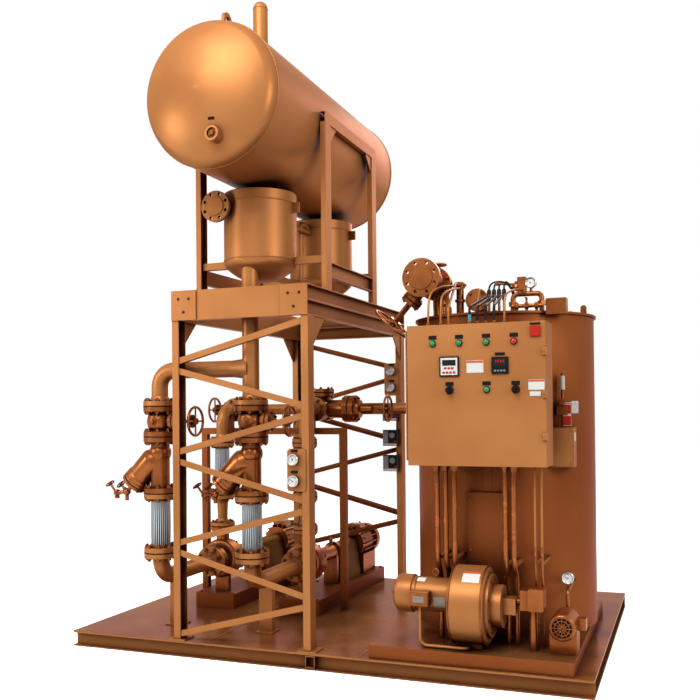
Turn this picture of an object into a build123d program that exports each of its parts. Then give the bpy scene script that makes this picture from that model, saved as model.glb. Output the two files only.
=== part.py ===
from build123d import *
import os
from math import atan2, cos, degrees, radians, sin, sqrt

os.makedirs("parts", exist_ok=True)

# Thermal fluid heater skid with an expansion tank on a steel tower.
# Millimetres. X runs along the long front edge, Y to the back, Z up from the ground.

# Skid and deck
skid_length = 3550
skid_width = 2460
skid_height = 100
skid_flange = 50
skid_wall = 8
cross_beam_pitch = 600
deck_thickness = 6
tube_end_width = 65
tube_end_height = 76
tube_end_wall = 6

# Tower that carries the tank; it stands a little behind the skid's front edge
tower_centre_x = -465
tower_inset = 15
tower_depth = 2010
post_width = 50
post_depth = 90
post_wall = 6
post_length = 2131
foot_side = 130
foot_thickness = 8
header_height = 100
header_flange = 50
header_wall = 7
splice_length = 190
splice_thickness = 8
gusset_leg = 200
gusset_thickness = 8
brace_count = 7
brace_side = 40
brace_wall = 5
brace_end_gap = 12
brace_lap = 30
back_brace_count = 6

# Upper frame with the tank rails
frame_inset = 321
frame_depth = 1005
frame_post_length = 1122
rail_height = 76
rail_flange = 38
rail_wall = 6
tie_height = 102
tie_lift_height = 90
knee_leg = 120
arm_height = 50
arm_width = 40
arm_lift_height = 185

# Expansion tank
tank_radius = 457
tank_wall = 8
tank_length = 2140
tank_side_gap = 43
tank_overhang = 309
head_depth = 200
lug_length = 160
lug_height = 40
lug_inset = 190
vent_radius = 51
vent_distance = 674
vent_height = 414
lifting_lug_distance = 194
lifting_lug_width = 104
lifting_lug_height = 78
lifting_lug_thickness = 20
lifting_eye_radius = 25
drain_radius = 46
drain_length = 45
drain_bore_radius = 32
drain_bore_depth = 30
drain_offset_x = 100
drain_drop_height = 300

# Deaerator vessels under the tank
vessel_radius = 250
vessel_wall = 8
vessel_shell_length = 389
vessel_top_depth = 60
vessel_bottom_depth = 145
front_vessel_inset = 339
vessel_pitch = 1066
neck_radius = 90
neck_height = 39
tab_width = 46
tab_height = 70
tab_thickness = 10
inlet_pipe_radius = 44.5
inlet_offset_x = -200
inlet_drop_height = 40
inlet_length = 273
inlet_flange_radius = 104.8
inlet_flange_thickness = 28
inlet_bolt_circle = 168.3
inlet_hole_radius = 11.1
flange_hole_count = 8
blank_height = 6
balance_radius = 24
balance_bend_radius = 90
balance_drop_height = 320

# Suction lines
pump_pitch = 715
pump_axis_height = 369
suction_inset = 178
suction_pipe_radius = 57
suction_flange_radius = 114
suction_flange_thickness = 36
hub_extra_radius = 16
hub_length = 34
suction_bend_radius = 140
elbow_height = 145
suction_stand_width = 100
suction_stand_depth = 50
suction_stand_distance = 214
braid_radius = 65
collar_radius = 72
collar_height = 20
suction_flex_length = 300
valve_height = 140
neck_extra_radius = 12
valve_radius = 90
tee_height = 212
tee_hub_length = 130
branch_bend_radius = 115
nozzle_length = 70

# Y-strainers: a leg at 45 degrees with a bolted cover and a small blow-down valve
strainer_height = 320
strainer_radius = 76
strainer_leg_radius = 62
strainer_cover_end_radius = 74
strainer_leg_length = 262
strainer_leg_share = 0.76
strainer_cover_radius = 92
strainer_cover_thickness = 24
strainer_boss_radius = 30
strainer_boss_height = 14
blowdown_radius = 13
blowdown_length = 70
blowdown_valve_radius = 27
blowdown_stem_length = 72
blowdown_stem_radius = 8
blowdown_wheel_radius = 30
blowdown_rim_radius = 5
blowdown_outlet_length = 62

# Handwheel valves
bonnet_radius = 42
bonnet_share = 0.45
bonnet_flange_radius = 68
bonnet_flange_thickness = 28
yoke_rod_radius = 10
yoke_spread_width = 34
yoke_cap_radius = 46
yoke_cap_thickness = 16
stem_radius = 9
stem_clearance = 0.5
wheel_radius = 98
outlet_wheel_radius = 146
wheel_rim_radius = 9
wheel_hub_radius = 22
wheel_hub_length = 26
wheel_spoke_radius = 6
wheel_spoke_count = 4
wheel_clearance = 6
suction_wheel_length = 285
first_discharge_wheel_length = 250
second_discharge_wheel_length = 564
outlet_wheel_length = 380

# Pumps
suction_run_length = 707
volute_distance = 165
volute_radius = 150
volute_width = 140
volute_fillet = 30
cover_ring_depth = 22
cover_ring_step = 14
discharge_height = 252
discharge_neck_radius = 50
bearing_radius = 58
bearing_cap_radius = 76
bearing_cap_depth = 30
bearing_length = 565
oil_cup_radius = 15
oil_cup_height = 52
shaft_radius = 20
guard_gap = 10
guard_length = 380
guard_radius = 60
guard_foot_width = 190
motor_length = 390
motor_radius = 112
motor_fin_height = 23
motor_fin_count = 16
motor_fin_share = 0.86
motor_fin_thickness = 7
fan_cowl_length = 90
motor_gap = 10
motor_box_width = 120
base_width = 330
base_height = 112
base_plate_thickness = 12
base_inset = 30
pedestal_width = 220
motor_foot_share = 0.8

# Discharge lines
discharge_pipe_radius = 44.5
discharge_flange_radius = 95
discharge_flange_thickness = 30
reducer_height = 188
reducer_small_radius = 36
discharge_braid_radius = 54
discharge_flex_length = 310
discharge_rise_height = 225
discharge_bend_radius = 112
discharge_run_length = 225
discharge_valve_length = 143
discharge_valve_radius = 84
cover_radius = 105
cover_neck_radius = 67
cover_thickness = 30
cover_height = 130
header_run_length = 107
header_bend_radius = 100
support_leg_width = 50
support_distance = 134
support_left_overhang = 225
support_right_overhang = 265
support_beam_height = 50
shoe_width = 50

# Heater, plinth and burner
heater_x = 1075
heater_distance = 1057
heater_radius = 610
heater_height = 2057
top_plate_overhang = 15
top_plate_thickness = 15
plinth_inset = 30
plinth_left_length = 655
plinth_right_length = 585
plinth_depth = 1720
plinth_height = 80
panel_width = 256
panel_depth = 627
panel_bottom_height = 14
panel_height = 900
blower_inset = 190
blower_offset_x = 155
blower_radius = 236
blower_width = 222
blower_height = 253
blower_fillet = 24
blower_flange_radius = 190
blower_flange_thickness = 20
blower_inlet_radius = 128
blower_inlet_length = 64
duct_width = 140
duct_height = 260
blower_motor_length = 366
blower_motor_height = 297
blower_motor_radius = 105
blower_cowl_radius = 118
blower_cowl_length = 112
blower_cowl_fillet = 36
terminal_box_width = 120
terminal_box_depth = 66
terminal_box_height = 90
damper_length = 162
damper_width = 100
damper_height = 96
damper_bottom_height = 214
fuel_gap = 26
fuel_pipe_radius = 22
actuator_length = 140
actuator_width = 120
actuator_height = 132
actuator_bottom_height = 244
actuator_side_length = 46
actuator_fillet = 14
oil_pump_inset_x = 82
oil_pump_inset = 120
oil_pump_height = 162
oil_pump_radius = 79
oil_pump_fillet = 16
oil_pump_length = 240
oil_box_width = 44
oil_box_height = 70
oil_head_radius = 45
oil_head_length = 60
oil_pipe_radius = 12
oil_pipe_height = 172
gauge_radius = 35
gauge_depth = 30
junction_offset_x = 461
junction_width = 142
junction_height = 251
junction_bottom_height = 1074
junction_distance = 507

# Fittings on the heater's roof, placed from the heater's axis
fitting_distance = 307
manifold_height = 138
manifold_left_x = 122
manifold_right_x = 312
manifold_radius = 17
manifold_gauge_x = 242
manifold_gauge_height = 208
manifold_switch_x = 183
manifold_switch_width = 56
probe_pitch = 34
probe_left_x = -40
probe_count = 4
probe_stem_radius = 9
probe_head_radius = 14
probe_head_height = 46
probe_height = 150
relief_offset_x = -265
relief_distance = 207
relief_radius = 26
relief_height = 232
relief_cap_radius = 36
relief_cap_thickness = 18
elbow_offset_x = -138
elbow_distance = 110
elbow_flange_radius = 78
elbow_flange_thickness = 22
elbow_rise_height = 122
elbow_run_length = 120
elbow_bend_radius = 70
roof_loop_offset_x = -345
roof_loop_width = 70
roof_loop_height = 88
roof_loop_radius = 10
roof_box_offset_x = 436
roof_box_distance = 497
roof_box_width = 127
roof_box_depth = 90
roof_box_height = 102
roof_box_lift_height = 28
roof_box_post_width = 40
roof_eye_offset_x = 558
roof_eye_distance = 107
roof_eye_width = 40
roof_eye_height = 46

# Sight glass and shut-off valve above the junction box
sight_tube_radius = 9
sight_tube_length = 350
sight_glass_radius = 15
sight_glass_length = 90
sight_glass_lift_height = 240
shutoff_width = 70
shutoff_depth = 52
shutoff_height = 54
shutoff_lift_height = 80
sight_valve_radius = 20
sight_valve_length = 46
sight_valve_lift_height = 160

# Heater outlet valve
outlet_offset_x = 413
outlet_riser_distance = 157
outlet_rise_height = 238
outlet_length = 508
outlet_valve_distance = 330
outlet_bend_radius = 115
outlet_flange_radius = 127
outlet_flange_thickness = 38
outlet_bolt_circle = 200
outlet_hole_radius = 11.1
outlet_body_radius = 96
outlet_joint_distance = 180
outlet_stem_angle = 228.4
outlet_vent_height = 146
outlet_vent_distance = 60
outlet_vent_radius = 13
outlet_vent_wheel_radius = 50
outlet_vent_rim_radius = 8

# Control cabinet
cabinet_offset_x = 415
cabinet_width = 850
cabinet_bottom_height = 1104
cabinet_height = 860
cabinet_inset = 80
cabinet_depth = 255
cabinet_wall = 4
door_thickness = 20
door_gap = 5
door_edge_gap = 2
hinge_radius = 7
hinge_pin_radius = 3
hinge_clearance = 0.6
hinge_offset = 6
hinge_leaf_width = 6
hinge_inset = 30
hinge_segment_count = 5
hinge_segment_gap = 3
bracket_width = 45
bracket_pitch = 390
lamp_radius = 16
lamp_height = 16
lamp_pitch = 166
lamp_row_distance = 115
knob_radius = 20
knob_height = 30
knob_left_x = 270
knob_right_x = 672
knob_row_distance = 400
controller_width = 120
controller_height = 10
controller_row_distance = 256
small_controller_width = 100
small_controller_x = 580
stop_plate_width = 60

# Conduits: ribbed ones under the cabinet, tubes from the roof and leads on the plinth
conduit_radius = 14
conduit_bend_radius = 60
conduit_inset = 95
left_conduit_x = 140
left_conduit_pitch = 55
left_conduit_length = 590
right_conduit_x = 570
right_conduit_pitch = 50
right_conduit_length = 620
tube_radius = 8
tube_gland_radius = 13
tube_gland_height = 14
tube_inset = 170
edge_tube_x = 750
edge_tube_pitch = 40
edge_tube_length = 600
lead_radius = 11
lead_bend_radius = 45
lead_lift_height = 13

# Gauges and switches on the tower
gauge_plate_width = 100
gauge_plate_height = 272
gauge_plate_bottom_height = 1014
gauge_plate_thickness = 5
gauge_plate_fillet = 22
switch_width = 126
switch_height = 134
switch_depth = 60
switch_bottom_height = 1010
switch_pitch = 210
switch_count = 3
contact_gap = 0.3

# Levels and lines worked out from the dimensions above
deck_top = skid_height + deck_thickness
foot_top = deck_top + foot_thickness
skid_front = -skid_width / 2
tower_width = 2 * (tank_radius + tank_side_gap)
tower_left = tower_centre_x - tower_width / 2
tower_right = tower_centre_x + tower_width / 2
tower_front = skid_front + tower_inset
tower_back = tower_front + tower_depth
header_bottom = foot_top + post_length
ring_top = header_bottom + 2 * header_height
frame_front = tower_front + frame_inset
frame_back = frame_front + frame_depth
rail_bottom = ring_top + frame_post_length
tank_z = rail_bottom + rail_height / 2
tank_top = tank_z + tank_radius
tank_front_seam = tower_front - tank_overhang
tank_back_seam = tank_front_seam + tank_length
front_vessel_y = tower_front + front_vessel_inset
back_vessel_y = front_vessel_y + vessel_pitch
vessel_top_seam = tank_z - tank_radius - neck_height - vessel_top_depth
vessel_bottom_seam = vessel_top_seam - vessel_shell_length
nozzle_bottom = vessel_bottom_seam - vessel_bottom_depth - nozzle_length / 2
suction_y = tower_front + suction_inset
pump_z = deck_top + pump_axis_height
pump_lines = (tower_centre_x - pump_pitch, tower_centre_x)
flex_bottom = pump_z + elbow_height + suction_flange_thickness
flex_height = suction_flex_length + 2 * (suction_flange_thickness + collar_height)
strainer_bottom = flex_bottom + flex_height
valve_bottom = strainer_bottom + strainer_height + 2 * suction_flange_thickness
valve_top = valve_bottom + valve_height + 2 * suction_flange_thickness
valve_z = (valve_bottom + valve_top) / 2
tee_z = valve_top + suction_flange_thickness + tee_height
pump_suction_face = suction_y + suction_run_length
volute_y = pump_suction_face + volute_distance
bearing_end = volute_y + bearing_length
guard_start = bearing_end + guard_gap
guard_end = guard_start + guard_length
motor_start = guard_end + motor_gap
base_front = pump_suction_face + base_inset
base_end = motor_start + motor_length
riser_bottom = pump_z + discharge_height
riser_top = riser_bottom + reducer_height + 2 * discharge_flange_thickness
discharge_flex_height = discharge_flex_length + 2 * (discharge_flange_thickness + collar_height)
discharge_flex_top = riser_top + discharge_flex_height
discharge_z = discharge_flex_top + discharge_flange_thickness + discharge_rise_height
discharge_valve_start = volute_y + discharge_run_length
discharge_valve_end = discharge_valve_start + discharge_valve_length + 2 * discharge_flange_thickness
discharge_valve_y = (discharge_valve_start + discharge_valve_end) / 2
header_y = discharge_valve_end + discharge_flange_thickness + header_run_length
base_top = deck_top + base_height
plinth_front = skid_front + plinth_inset
plinth_left = heater_x - plinth_left_length
plinth_right = heater_x + plinth_right_length
plinth_top = deck_top + plinth_height
heater_y = plinth_front + heater_distance
heater_top_z = plinth_top + heater_height
heater_roof = heater_top_z + top_plate_thickness
panel_front = heater_y - panel_depth
fitting_y = heater_y - fitting_distance
outlet_x = heater_x - outlet_offset_x
outlet_z = heater_roof + outlet_rise_height
outlet_riser_y = heater_y - outlet_riser_distance
outlet_face = outlet_riser_y - outlet_length
outlet_valve_y = outlet_riser_y - outlet_valve_distance
cabinet_left = heater_x - cabinet_offset_x
cabinet_right = cabinet_left + cabinet_width
cabinet_floor = plinth_top + cabinet_bottom_height
cabinet_roof = cabinet_floor + cabinet_height
cabinet_front = plinth_front + cabinet_inset
cabinet_back = cabinet_front + cabinet_depth
door_back = cabinet_front + door_thickness
box_front = door_back + door_gap
hinge_x = cabinet_left - hinge_offset
hinge_y = cabinet_front + door_thickness / 2
blower_y = plinth_front + blower_inset
blower_z = plinth_top + blower_height
blower_left = heater_x - blower_offset_x
blower_right = blower_left + blower_width
oil_pump_x = plinth_right - oil_pump_inset_x
oil_pump_front = plinth_front + oil_pump_inset
junction_x = heater_x + junction_offset_x
junction_front = heater_y - junction_distance
junction_top = plinth_top + junction_bottom_height + junction_height
vent_y = tank_front_seam + vent_distance
lifting_lug_y = tank_front_seam + lifting_lug_distance
suction_stand_y = suction_y + suction_stand_distance
support_y = volute_y + support_distance
support_left = pump_lines[0] - support_left_overhang
support_right = pump_lines[1] + support_right_overhang
plinth_back = plinth_front + plinth_depth
conduit_y = cabinet_back - conduit_inset


def block(x, y, z, mode=Mode.ADD):
    # A plain block between a low and a high limit on each axis
    with Locations(((x[0] + x[1]) / 2, (y[0] + y[1]) / 2, (z[0] + z[1]) / 2)):
        Box(x[1] - x[0], y[1] - y[0], z[1] - z[0], mode=mode)


def rod(start, end, radius, mode=Mode.ADD):
    # A round bar or disc between two points
    span = Vector(*end) - Vector(*start)
    with BuildSketch(Plane(origin=start, z_dir=span)) as section:
        Circle(radius)
    extrude(section.sketch, amount=span.length, mode=mode)


def post_rod(x, y, low, high, radius, mode=Mode.ADD):
    # A round upright between two levels
    rod((x, y, low), (x, y, high), radius, mode)


def taper(start, end, start_radius, end_radius):
    # A cone between two points
    span = Vector(*end) - Vector(*start)
    with Locations(Plane(origin=start, z_dir=span)):
        Cone(start_radius, end_radius, span.length, align=(Align.CENTER, Align.CENTER, Align.MIN))


def pipe(points, radius, bend):
    # A pipe with round bends through a list of points
    with BuildLine() as route:
        FilletPolyline(*points, radius=bend)
    with BuildSketch(Plane(origin=points[0], z_dir=Vector(*points[1]) - Vector(*points[0]))) as section:
        Circle(radius)
    sweep(section.sketch, path=route.wires()[0])


def plate(plane, corners, thickness):
    # A flat plate with straight edges, raised from a plane
    with BuildSketch(plane) as outline:
        with BuildLine():
            Polyline(*corners, close=True)
        make_face()
    extrude(outline.sketch, amount=thickness)


def channel(plane, height, flange, wall, length):
    # A C section: the web lies on the plane's Y axis and the flanges run along its X axis
    with BuildSketch(plane) as section:
        Rectangle(flange, height, align=(Align.MIN, Align.CENTER))
        with Locations((wall, 0)):
            Rectangle(flange, height - 2 * wall, align=(Align.MIN, Align.CENTER), mode=Mode.SUBTRACT)
    extrude(section.sketch, amount=length)


def dome(plane, radius, depth, inset=0, mode=Mode.ADD):
    # A dished end that stands on a plane: a crown arc that meets a knuckle arc of half the depth
    knuckle_radius = depth / 2
    crown_radius = ((radius - knuckle_radius) ** 2 + 0.75 * depth ** 2) / depth
    turn = degrees(atan2(crown_radius - depth, radius - knuckle_radius))
    with BuildSketch(Plane(origin=plane.origin, x_dir=plane.x_dir, z_dir=-plane.y_dir)) as half:
        with BuildLine():
            CenterArc((radius - knuckle_radius, 0), knuckle_radius - inset, 0, turn)
            CenterArc((0, depth - crown_radius), crown_radius - inset, turn, 90 - turn)
            Polyline((0, depth - inset), (0, 0), (radius - inset, 0))
        make_face()
    revolve(half.sketch, axis=Axis(plane.origin, plane.z_dir), mode=mode)


def side_plane(x):
    # Sketch plane whose X is the frame's Y, facing +X
    return Plane(origin=(x, 0, 0), x_dir=(0, 1, 0), z_dir=(1, 0, 0))


def along(start, direction, distance):
    # The point at a distance from a start along a direction
    return tuple(a + distance * b for a, b in zip(start, direction))


def weld_neck(face, direction, flange_radius, thickness, pipe_radius):
    # A flange that starts at its face, with a tapered hub that runs back onto its pipe
    back = along(face, direction, thickness)
    rod(face, back, flange_radius)
    taper(back, along(back, direction, hub_length), pipe_radius + hub_extra_radius, pipe_radius + contact_gap)


def small_wheel(centre, direction, radius, rim_radius):
    # A small fixed handwheel: a round rim on four spokes from a plain hub
    hub_radius = 2 * rim_radius
    with Locations(Plane(origin=centre, z_dir=direction)):
        Torus(radius, rim_radius)
        Cylinder(hub_radius, 3 * rim_radius)
        with PolarLocations((radius + hub_radius / 2) / 2, wheel_spoke_count):
            Cylinder(rim_radius * 0.8, radius - hub_radius / 2, rotation=(0, 90, 0))
def bonnet(centre, direction, reach, side):
    # Bonnet, yoke and stem of a valve; the handwheel sits at the reach
    joint = reach * bonnet_share
    yoke_top = reach - wheel_hub_length / 2 - wheel_clearance
    rod(centre, along(centre, direction, joint), bonnet_radius)
    for start in (joint - bonnet_flange_thickness, joint):
        rod(along(centre, direction, start),
            along(centre, direction, start + bonnet_flange_thickness), bonnet_flange_radius)
    for sign in (-1, 1):
        foot = along(along(centre, side, sign * yoke_spread_width), direction, joint)
        rod(foot, along(foot, direction, yoke_top - joint), yoke_rod_radius)
    rod(along(centre, direction, yoke_top - yoke_cap_thickness),
        along(centre, direction, yoke_top), yoke_cap_radius)
    rod(along(centre, direction, joint),
        along(centre, direction, reach + wheel_hub_length / 3), stem_radius)


def tank_saddle(extra):
    # Cuts away what would lie inside the tank
    rod((tower_centre_x, tank_front_seam, tank_z), (tower_centre_x, tank_back_seam, tank_z),
        tank_radius + extra, mode=Mode.SUBTRACT)


def heater_saddle():
    # Cuts away what would lie inside the heater casing
    post_rod(heater_x, heater_y, plinth_top, heater_roof, heater_radius + contact_gap, mode=Mode.SUBTRACT)


# Skid: long beams front and back with a square tube end, end beams and cross beams between them
with BuildPart() as skid_long_beams:
    for side in (-1, 1):
        start = (-skid_length / 2, side * (skid_width / 2 - skid_flange), skid_height / 2)
        channel(Plane(origin=start, x_dir=(0, side, 0), z_dir=(1, 0, 0)),
                skid_height, skid_flange, skid_wall, skid_length)
    tube_y = (skid_front, skid_front + skid_flange - skid_wall)
    tube_left = tower_right - tube_end_width / 2
    tube_bottom = (skid_height - tube_end_height) / 2
    block((tube_left, tube_left + tube_end_width), tube_y, (tube_bottom, tube_bottom + tube_end_height))
    block((tube_left + tube_end_wall, tube_left + tube_end_width - tube_end_wall), tube_y,
          (tube_bottom + tube_end_wall, tube_bottom + tube_end_height - tube_end_wall), mode=Mode.SUBTRACT)
skid_long_beams.part.label = "skid_long_beams"
export_step(skid_long_beams.part, "parts/skid_long_beams.step")

beam_length = skid_width - 2 * skid_flange
with BuildPart() as skid_cross_beams:
    for side in (-1, 1):
        start = (side * (skid_length / 2 - skid_flange), -beam_length / 2, skid_height / 2)
        channel(Plane(origin=start, x_dir=(side, 0, 0), z_dir=(0, 1, 0)),
                skid_height, skid_flange, skid_wall, beam_length)
    for index in (-2, -1, 0, 1, 2):
        start = (index * cross_beam_pitch - skid_flange / 2, -beam_length / 2, skid_height / 2)
        channel(Plane(origin=start, x_dir=(1, 0, 0), z_dir=(0, 1, 0)),
                skid_height, skid_flange, skid_wall, beam_length)
skid_cross_beams.part.label = "skid_cross_beams"
export_step(skid_cross_beams.part, "parts/skid_cross_beams.step")

with BuildPart() as deck_plate:
    block((-skid_length / 2, skid_length / 2), (-skid_width / 2, skid_width / 2), (skid_height, deck_top))
deck_plate.part.label = "deck_plate"
export_step(deck_plate.part, "parts/deck_plate.step")

# Tower posts on foot plates, webs outward
post_rows = (tower_front + post_depth / 2, tower_back - post_depth / 2)
with BuildPart() as tower_posts:
    for x, inward in ((tower_left, 1), (tower_right, -1)):
        for y in post_rows:
            channel(Plane(origin=(x, y, foot_top), x_dir=(inward, 0, 0), z_dir=(0, 0, 1)),
                    post_depth, post_width, post_wall, post_length)
            foot_x = x + inward * post_width / 2
            block((foot_x - foot_side / 2, foot_x + foot_side / 2),
                  (max(y - foot_side / 2, -skid_width / 2), y + foot_side / 2), (deck_top, foot_top))
tower_posts.part.label = "tower_posts"
export_step(tower_posts.part, "parts/tower_posts.step")


def side_channels(level):
    # Two channels along the sides, open outward
    for x, outward in ((tower_left + header_flange, -1), (tower_right - header_flange, 1)):
        start = (x, tower_front, level + header_height / 2)
        channel(Plane(origin=start, x_dir=(outward, 0, 0), z_dir=(0, 1, 0)),
                header_height, header_flange, header_wall, tower_depth)


def end_channels(level):
    # Two channels across the front and back, between the side channels, webs outward
    for y, inward in ((tower_front, 1), (tower_back, -1)):
        start = (tower_left + header_flange, y, level + header_height / 2)
        channel(Plane(origin=start, x_dir=(0, inward, 0), z_dir=(1, 0, 0)),
                header_height, header_flange, header_wall, tower_width - 2 * header_flange)


ring_levels = (header_bottom, header_bottom + header_height)
with BuildPart() as side_headers:
    for level in ring_levels:
        side_channels(level)
side_headers.part.label = "side_headers"
export_step(side_headers.part, "parts/side_headers.step")

with BuildPart() as end_headers:
    for level in ring_levels:
        end_channels(level)
end_headers.part.label = "end_headers"
export_step(end_headers.part, "parts/end_headers.step")

with BuildPart() as splice_plates:
    for y in ((tower_front - splice_thickness, tower_front), (tower_back, tower_back + splice_thickness)):
        for x in ((tower_left, tower_left + splice_length), (tower_right - splice_length, tower_right)):
            block(x, y, (header_bottom, ring_top))
splice_plates.part.label = "splice_plates"
export_step(splice_plates.part, "parts/splice_plates.step")


def knees(x, front_y, back_y, level, leg):
    # Triangular plates in the two upper corners of a side bay
    for y, way in ((front_y, 1), (back_y, -1)):
        plate(side_plane(x), [(y, level), (y + way * leg, level), (y, level - leg)], gusset_thickness)


with BuildPart() as knee_gussets:
    for x in (tower_left + post_wall, tower_right - post_wall - gusset_thickness):
        knees(x, tower_front + post_depth, tower_back - post_depth, header_bottom, gusset_leg)
    for x in (tower_left + rail_wall, tower_right - rail_wall - gusset_thickness):
        knees(x, frame_front + post_depth, frame_back - post_depth, rail_bottom, knee_leg)
knee_gussets.part.label = "knee_gussets"
export_step(knee_gussets.part, "parts/knee_gussets.step")


def zigzag(y, depth_way, first_side, count):
    # Angle bars between two posts, each lapping inside the post flanges
    lap = post_width - brace_lap
    sides = (tower_left + lap, tower_right - lap)
    step = post_length / brace_count
    stretch = sqrt(1 + (step / (sides[1] - sides[0])) ** 2)
    half = brace_side / 2 * stretch
    lip = brace_wall * stretch
    for index in range(count):
        start_x = sides[(first_side + index) % 2]
        end_x = sides[(first_side + index + 1) % 2]
        start_z = header_bottom - index * step - half - brace_end_gap / 2
        end_z = header_bottom - (index + 1) * step + half + brace_end_gap / 2
        plane = Plane(origin=(0, y, 0), x_dir=(1, 0, 0), z_dir=(0, -1, 0))
        face = [(start_x, start_z - half), (end_x, end_z - half), (end_x, end_z + half), (start_x, start_z + half)]
        ledge = [(start_x, start_z - half), (end_x, end_z - half),
                 (end_x, end_z - half + lip), (start_x, start_z - half + lip)]
        plate(plane, face, -depth_way * brace_wall)
        plate(plane, ledge, -depth_way * brace_side)


with BuildPart() as front_bracing:
    zigzag(tower_front + post_wall, 1, 1, brace_count)
front_bracing.part.label = "front_bracing"
export_step(front_bracing.part, "parts/front_bracing.step")

with BuildPart() as back_bracing:
    zigzag(tower_back - post_wall, -1, 0, back_brace_count)
back_bracing.part.label = "back_bracing"
export_step(back_bracing.part, "parts/back_bracing.step")

# Upper frame: four posts, the rails that hold the tank, side ties and vessel arms
frame_rows = (frame_front + post_depth / 2, frame_back - post_depth / 2)
with BuildPart() as tank_frame_posts:
    for x, inward in ((tower_left, 1), (tower_right, -1)):
        for y in frame_rows:
            channel(Plane(origin=(x, y, ring_top), x_dir=(inward, 0, 0), z_dir=(0, 0, 1)),
                    post_depth, rail_flange, rail_wall, frame_post_length)
tank_frame_posts.part.label = "tank_frame_posts"
export_step(tank_frame_posts.part, "parts/tank_frame_posts.step")

with BuildPart() as tank_rails:
    for x, inward in ((tower_left, 1), (tower_right, -1)):
        channel(Plane(origin=(x, frame_front, tank_z), x_dir=(inward, 0, 0), z_dir=(0, 1, 0)),
                rail_height, rail_flange, rail_wall, frame_depth)
tank_rails.part.label = "tank_rails"
export_step(tank_rails.part, "parts/tank_rails.step")

with BuildPart() as tank_frame_ties:
    tie_length = frame_depth - 2 * post_depth
    for x, outward in ((tower_left + rail_flange, -1), (tower_right - rail_flange, 1)):
        start = (x, frame_front + post_depth, ring_top + tie_lift_height + tie_height / 2)
        channel(Plane(origin=start, x_dir=(outward, 0, 0), z_dir=(0, 1, 0)),
                tie_height, rail_flange, rail_wall, tie_length)
    arm_z = (ring_top + arm_lift_height, ring_top + arm_lift_height + arm_height)
    for y in frame_rows:
        for x in ((tower_left + rail_flange, tower_centre_x), (tower_centre_x, tower_right - rail_flange)):
            block(x, (y - arm_width / 2, y + arm_width / 2), arm_z)
    for y in (front_vessel_y, back_vessel_y):
        post_rod(tower_centre_x, y, ring_top, vessel_top_seam, vessel_radius + contact_gap, mode=Mode.SUBTRACT)
tank_frame_ties.part.label = "tank_frame_ties"
export_step(tank_frame_ties.part, "parts/tank_frame_ties.step")

# Expansion tank: shell with its carrying lugs, two dished ends, vent and lifting eye
with BuildPart() as tank_shell:
    rod((tower_centre_x, tank_front_seam, tank_z), (tower_centre_x, tank_back_seam, tank_z), tank_radius)
    lug_z = (rail_bottom + rail_wall, rail_bottom + rail_wall + lug_height)
    for x in ((tower_left + 2 * rail_wall, tower_centre_x), (tower_centre_x, tower_right - 2 * rail_wall)):
        for y in (frame_front + lug_inset, frame_back - lug_inset):
            block(x, (y - lug_length / 2, y + lug_length / 2), lug_z)
    rod((tower_centre_x, tank_front_seam, tank_z), (tower_centre_x, tank_back_seam, tank_z),
        tank_radius - tank_wall, mode=Mode.SUBTRACT)
tank_shell.part.label = "tank_shell"
export_step(tank_shell.part, "parts/tank_shell.step")

front_seam = Plane(origin=(tower_centre_x, tank_front_seam, tank_z), x_dir=(1, 0, 0), z_dir=(0, -1, 0))
with BuildPart() as tank_front_head:
    dome(front_seam, tank_radius, head_depth)
    drain_x = tower_centre_x + drain_offset_x
    drain_z = tank_z - drain_drop_height
    drain_run = head_depth * sqrt(1 - (drain_offset_x ** 2 + drain_drop_height ** 2) / tank_radius ** 2)
    drain_face = tank_front_seam - drain_run - drain_length
    rod((drain_x, tank_front_seam, drain_z), (drain_x, drain_face, drain_z), drain_radius)
    rod((drain_x, drain_face + drain_bore_depth, drain_z), (drain_x, drain_face, drain_z),
        drain_bore_radius, mode=Mode.SUBTRACT)
    dome(front_seam, tank_radius, head_depth, tank_wall, Mode.SUBTRACT)
tank_front_head.part.label = "tank_front_head"
export_step(tank_front_head.part, "parts/tank_front_head.step")

with BuildPart() as tank_back_head:
    back_seam = Plane(origin=(tower_centre_x, tank_back_seam, tank_z), x_dir=(1, 0, 0), z_dir=(0, 1, 0))
    dome(back_seam, tank_radius, head_depth)
    dome(back_seam, tank_radius, head_depth, tank_wall, Mode.SUBTRACT)
tank_back_head.part.label = "tank_back_head"
export_step(tank_back_head.part, "parts/tank_back_head.step")

with BuildPart() as tank_top_fittings:
    vent_round = tank_top + vent_height - vent_radius
    post_rod(tower_centre_x, vent_y, tank_top - vent_radius, vent_round, vent_radius)
    with Locations((tower_centre_x, vent_y, vent_round)):
        Sphere(vent_radius)
    eye_z = tank_top + lifting_lug_height - lifting_lug_width / 2
    lug_x = (tower_centre_x - lifting_lug_thickness / 2, tower_centre_x + lifting_lug_thickness / 2)
    block(lug_x, (lifting_lug_y - lifting_lug_width / 2, lifting_lug_y + lifting_lug_width / 2),
          (tank_top - lifting_lug_thickness, eye_z))
    rod((lug_x[0], lifting_lug_y, eye_z), (lug_x[1], lifting_lug_y, eye_z), lifting_lug_width / 2)
    rod((lug_x[0], lifting_lug_y, eye_z), (lug_x[1], lifting_lug_y, eye_z),
        lifting_eye_radius, mode=Mode.SUBTRACT)
    tank_saddle(contact_gap)
tank_top_fittings.part.label = "tank_top_fittings"
export_step(tank_top_fittings.part, "parts/tank_top_fittings.step")

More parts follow.
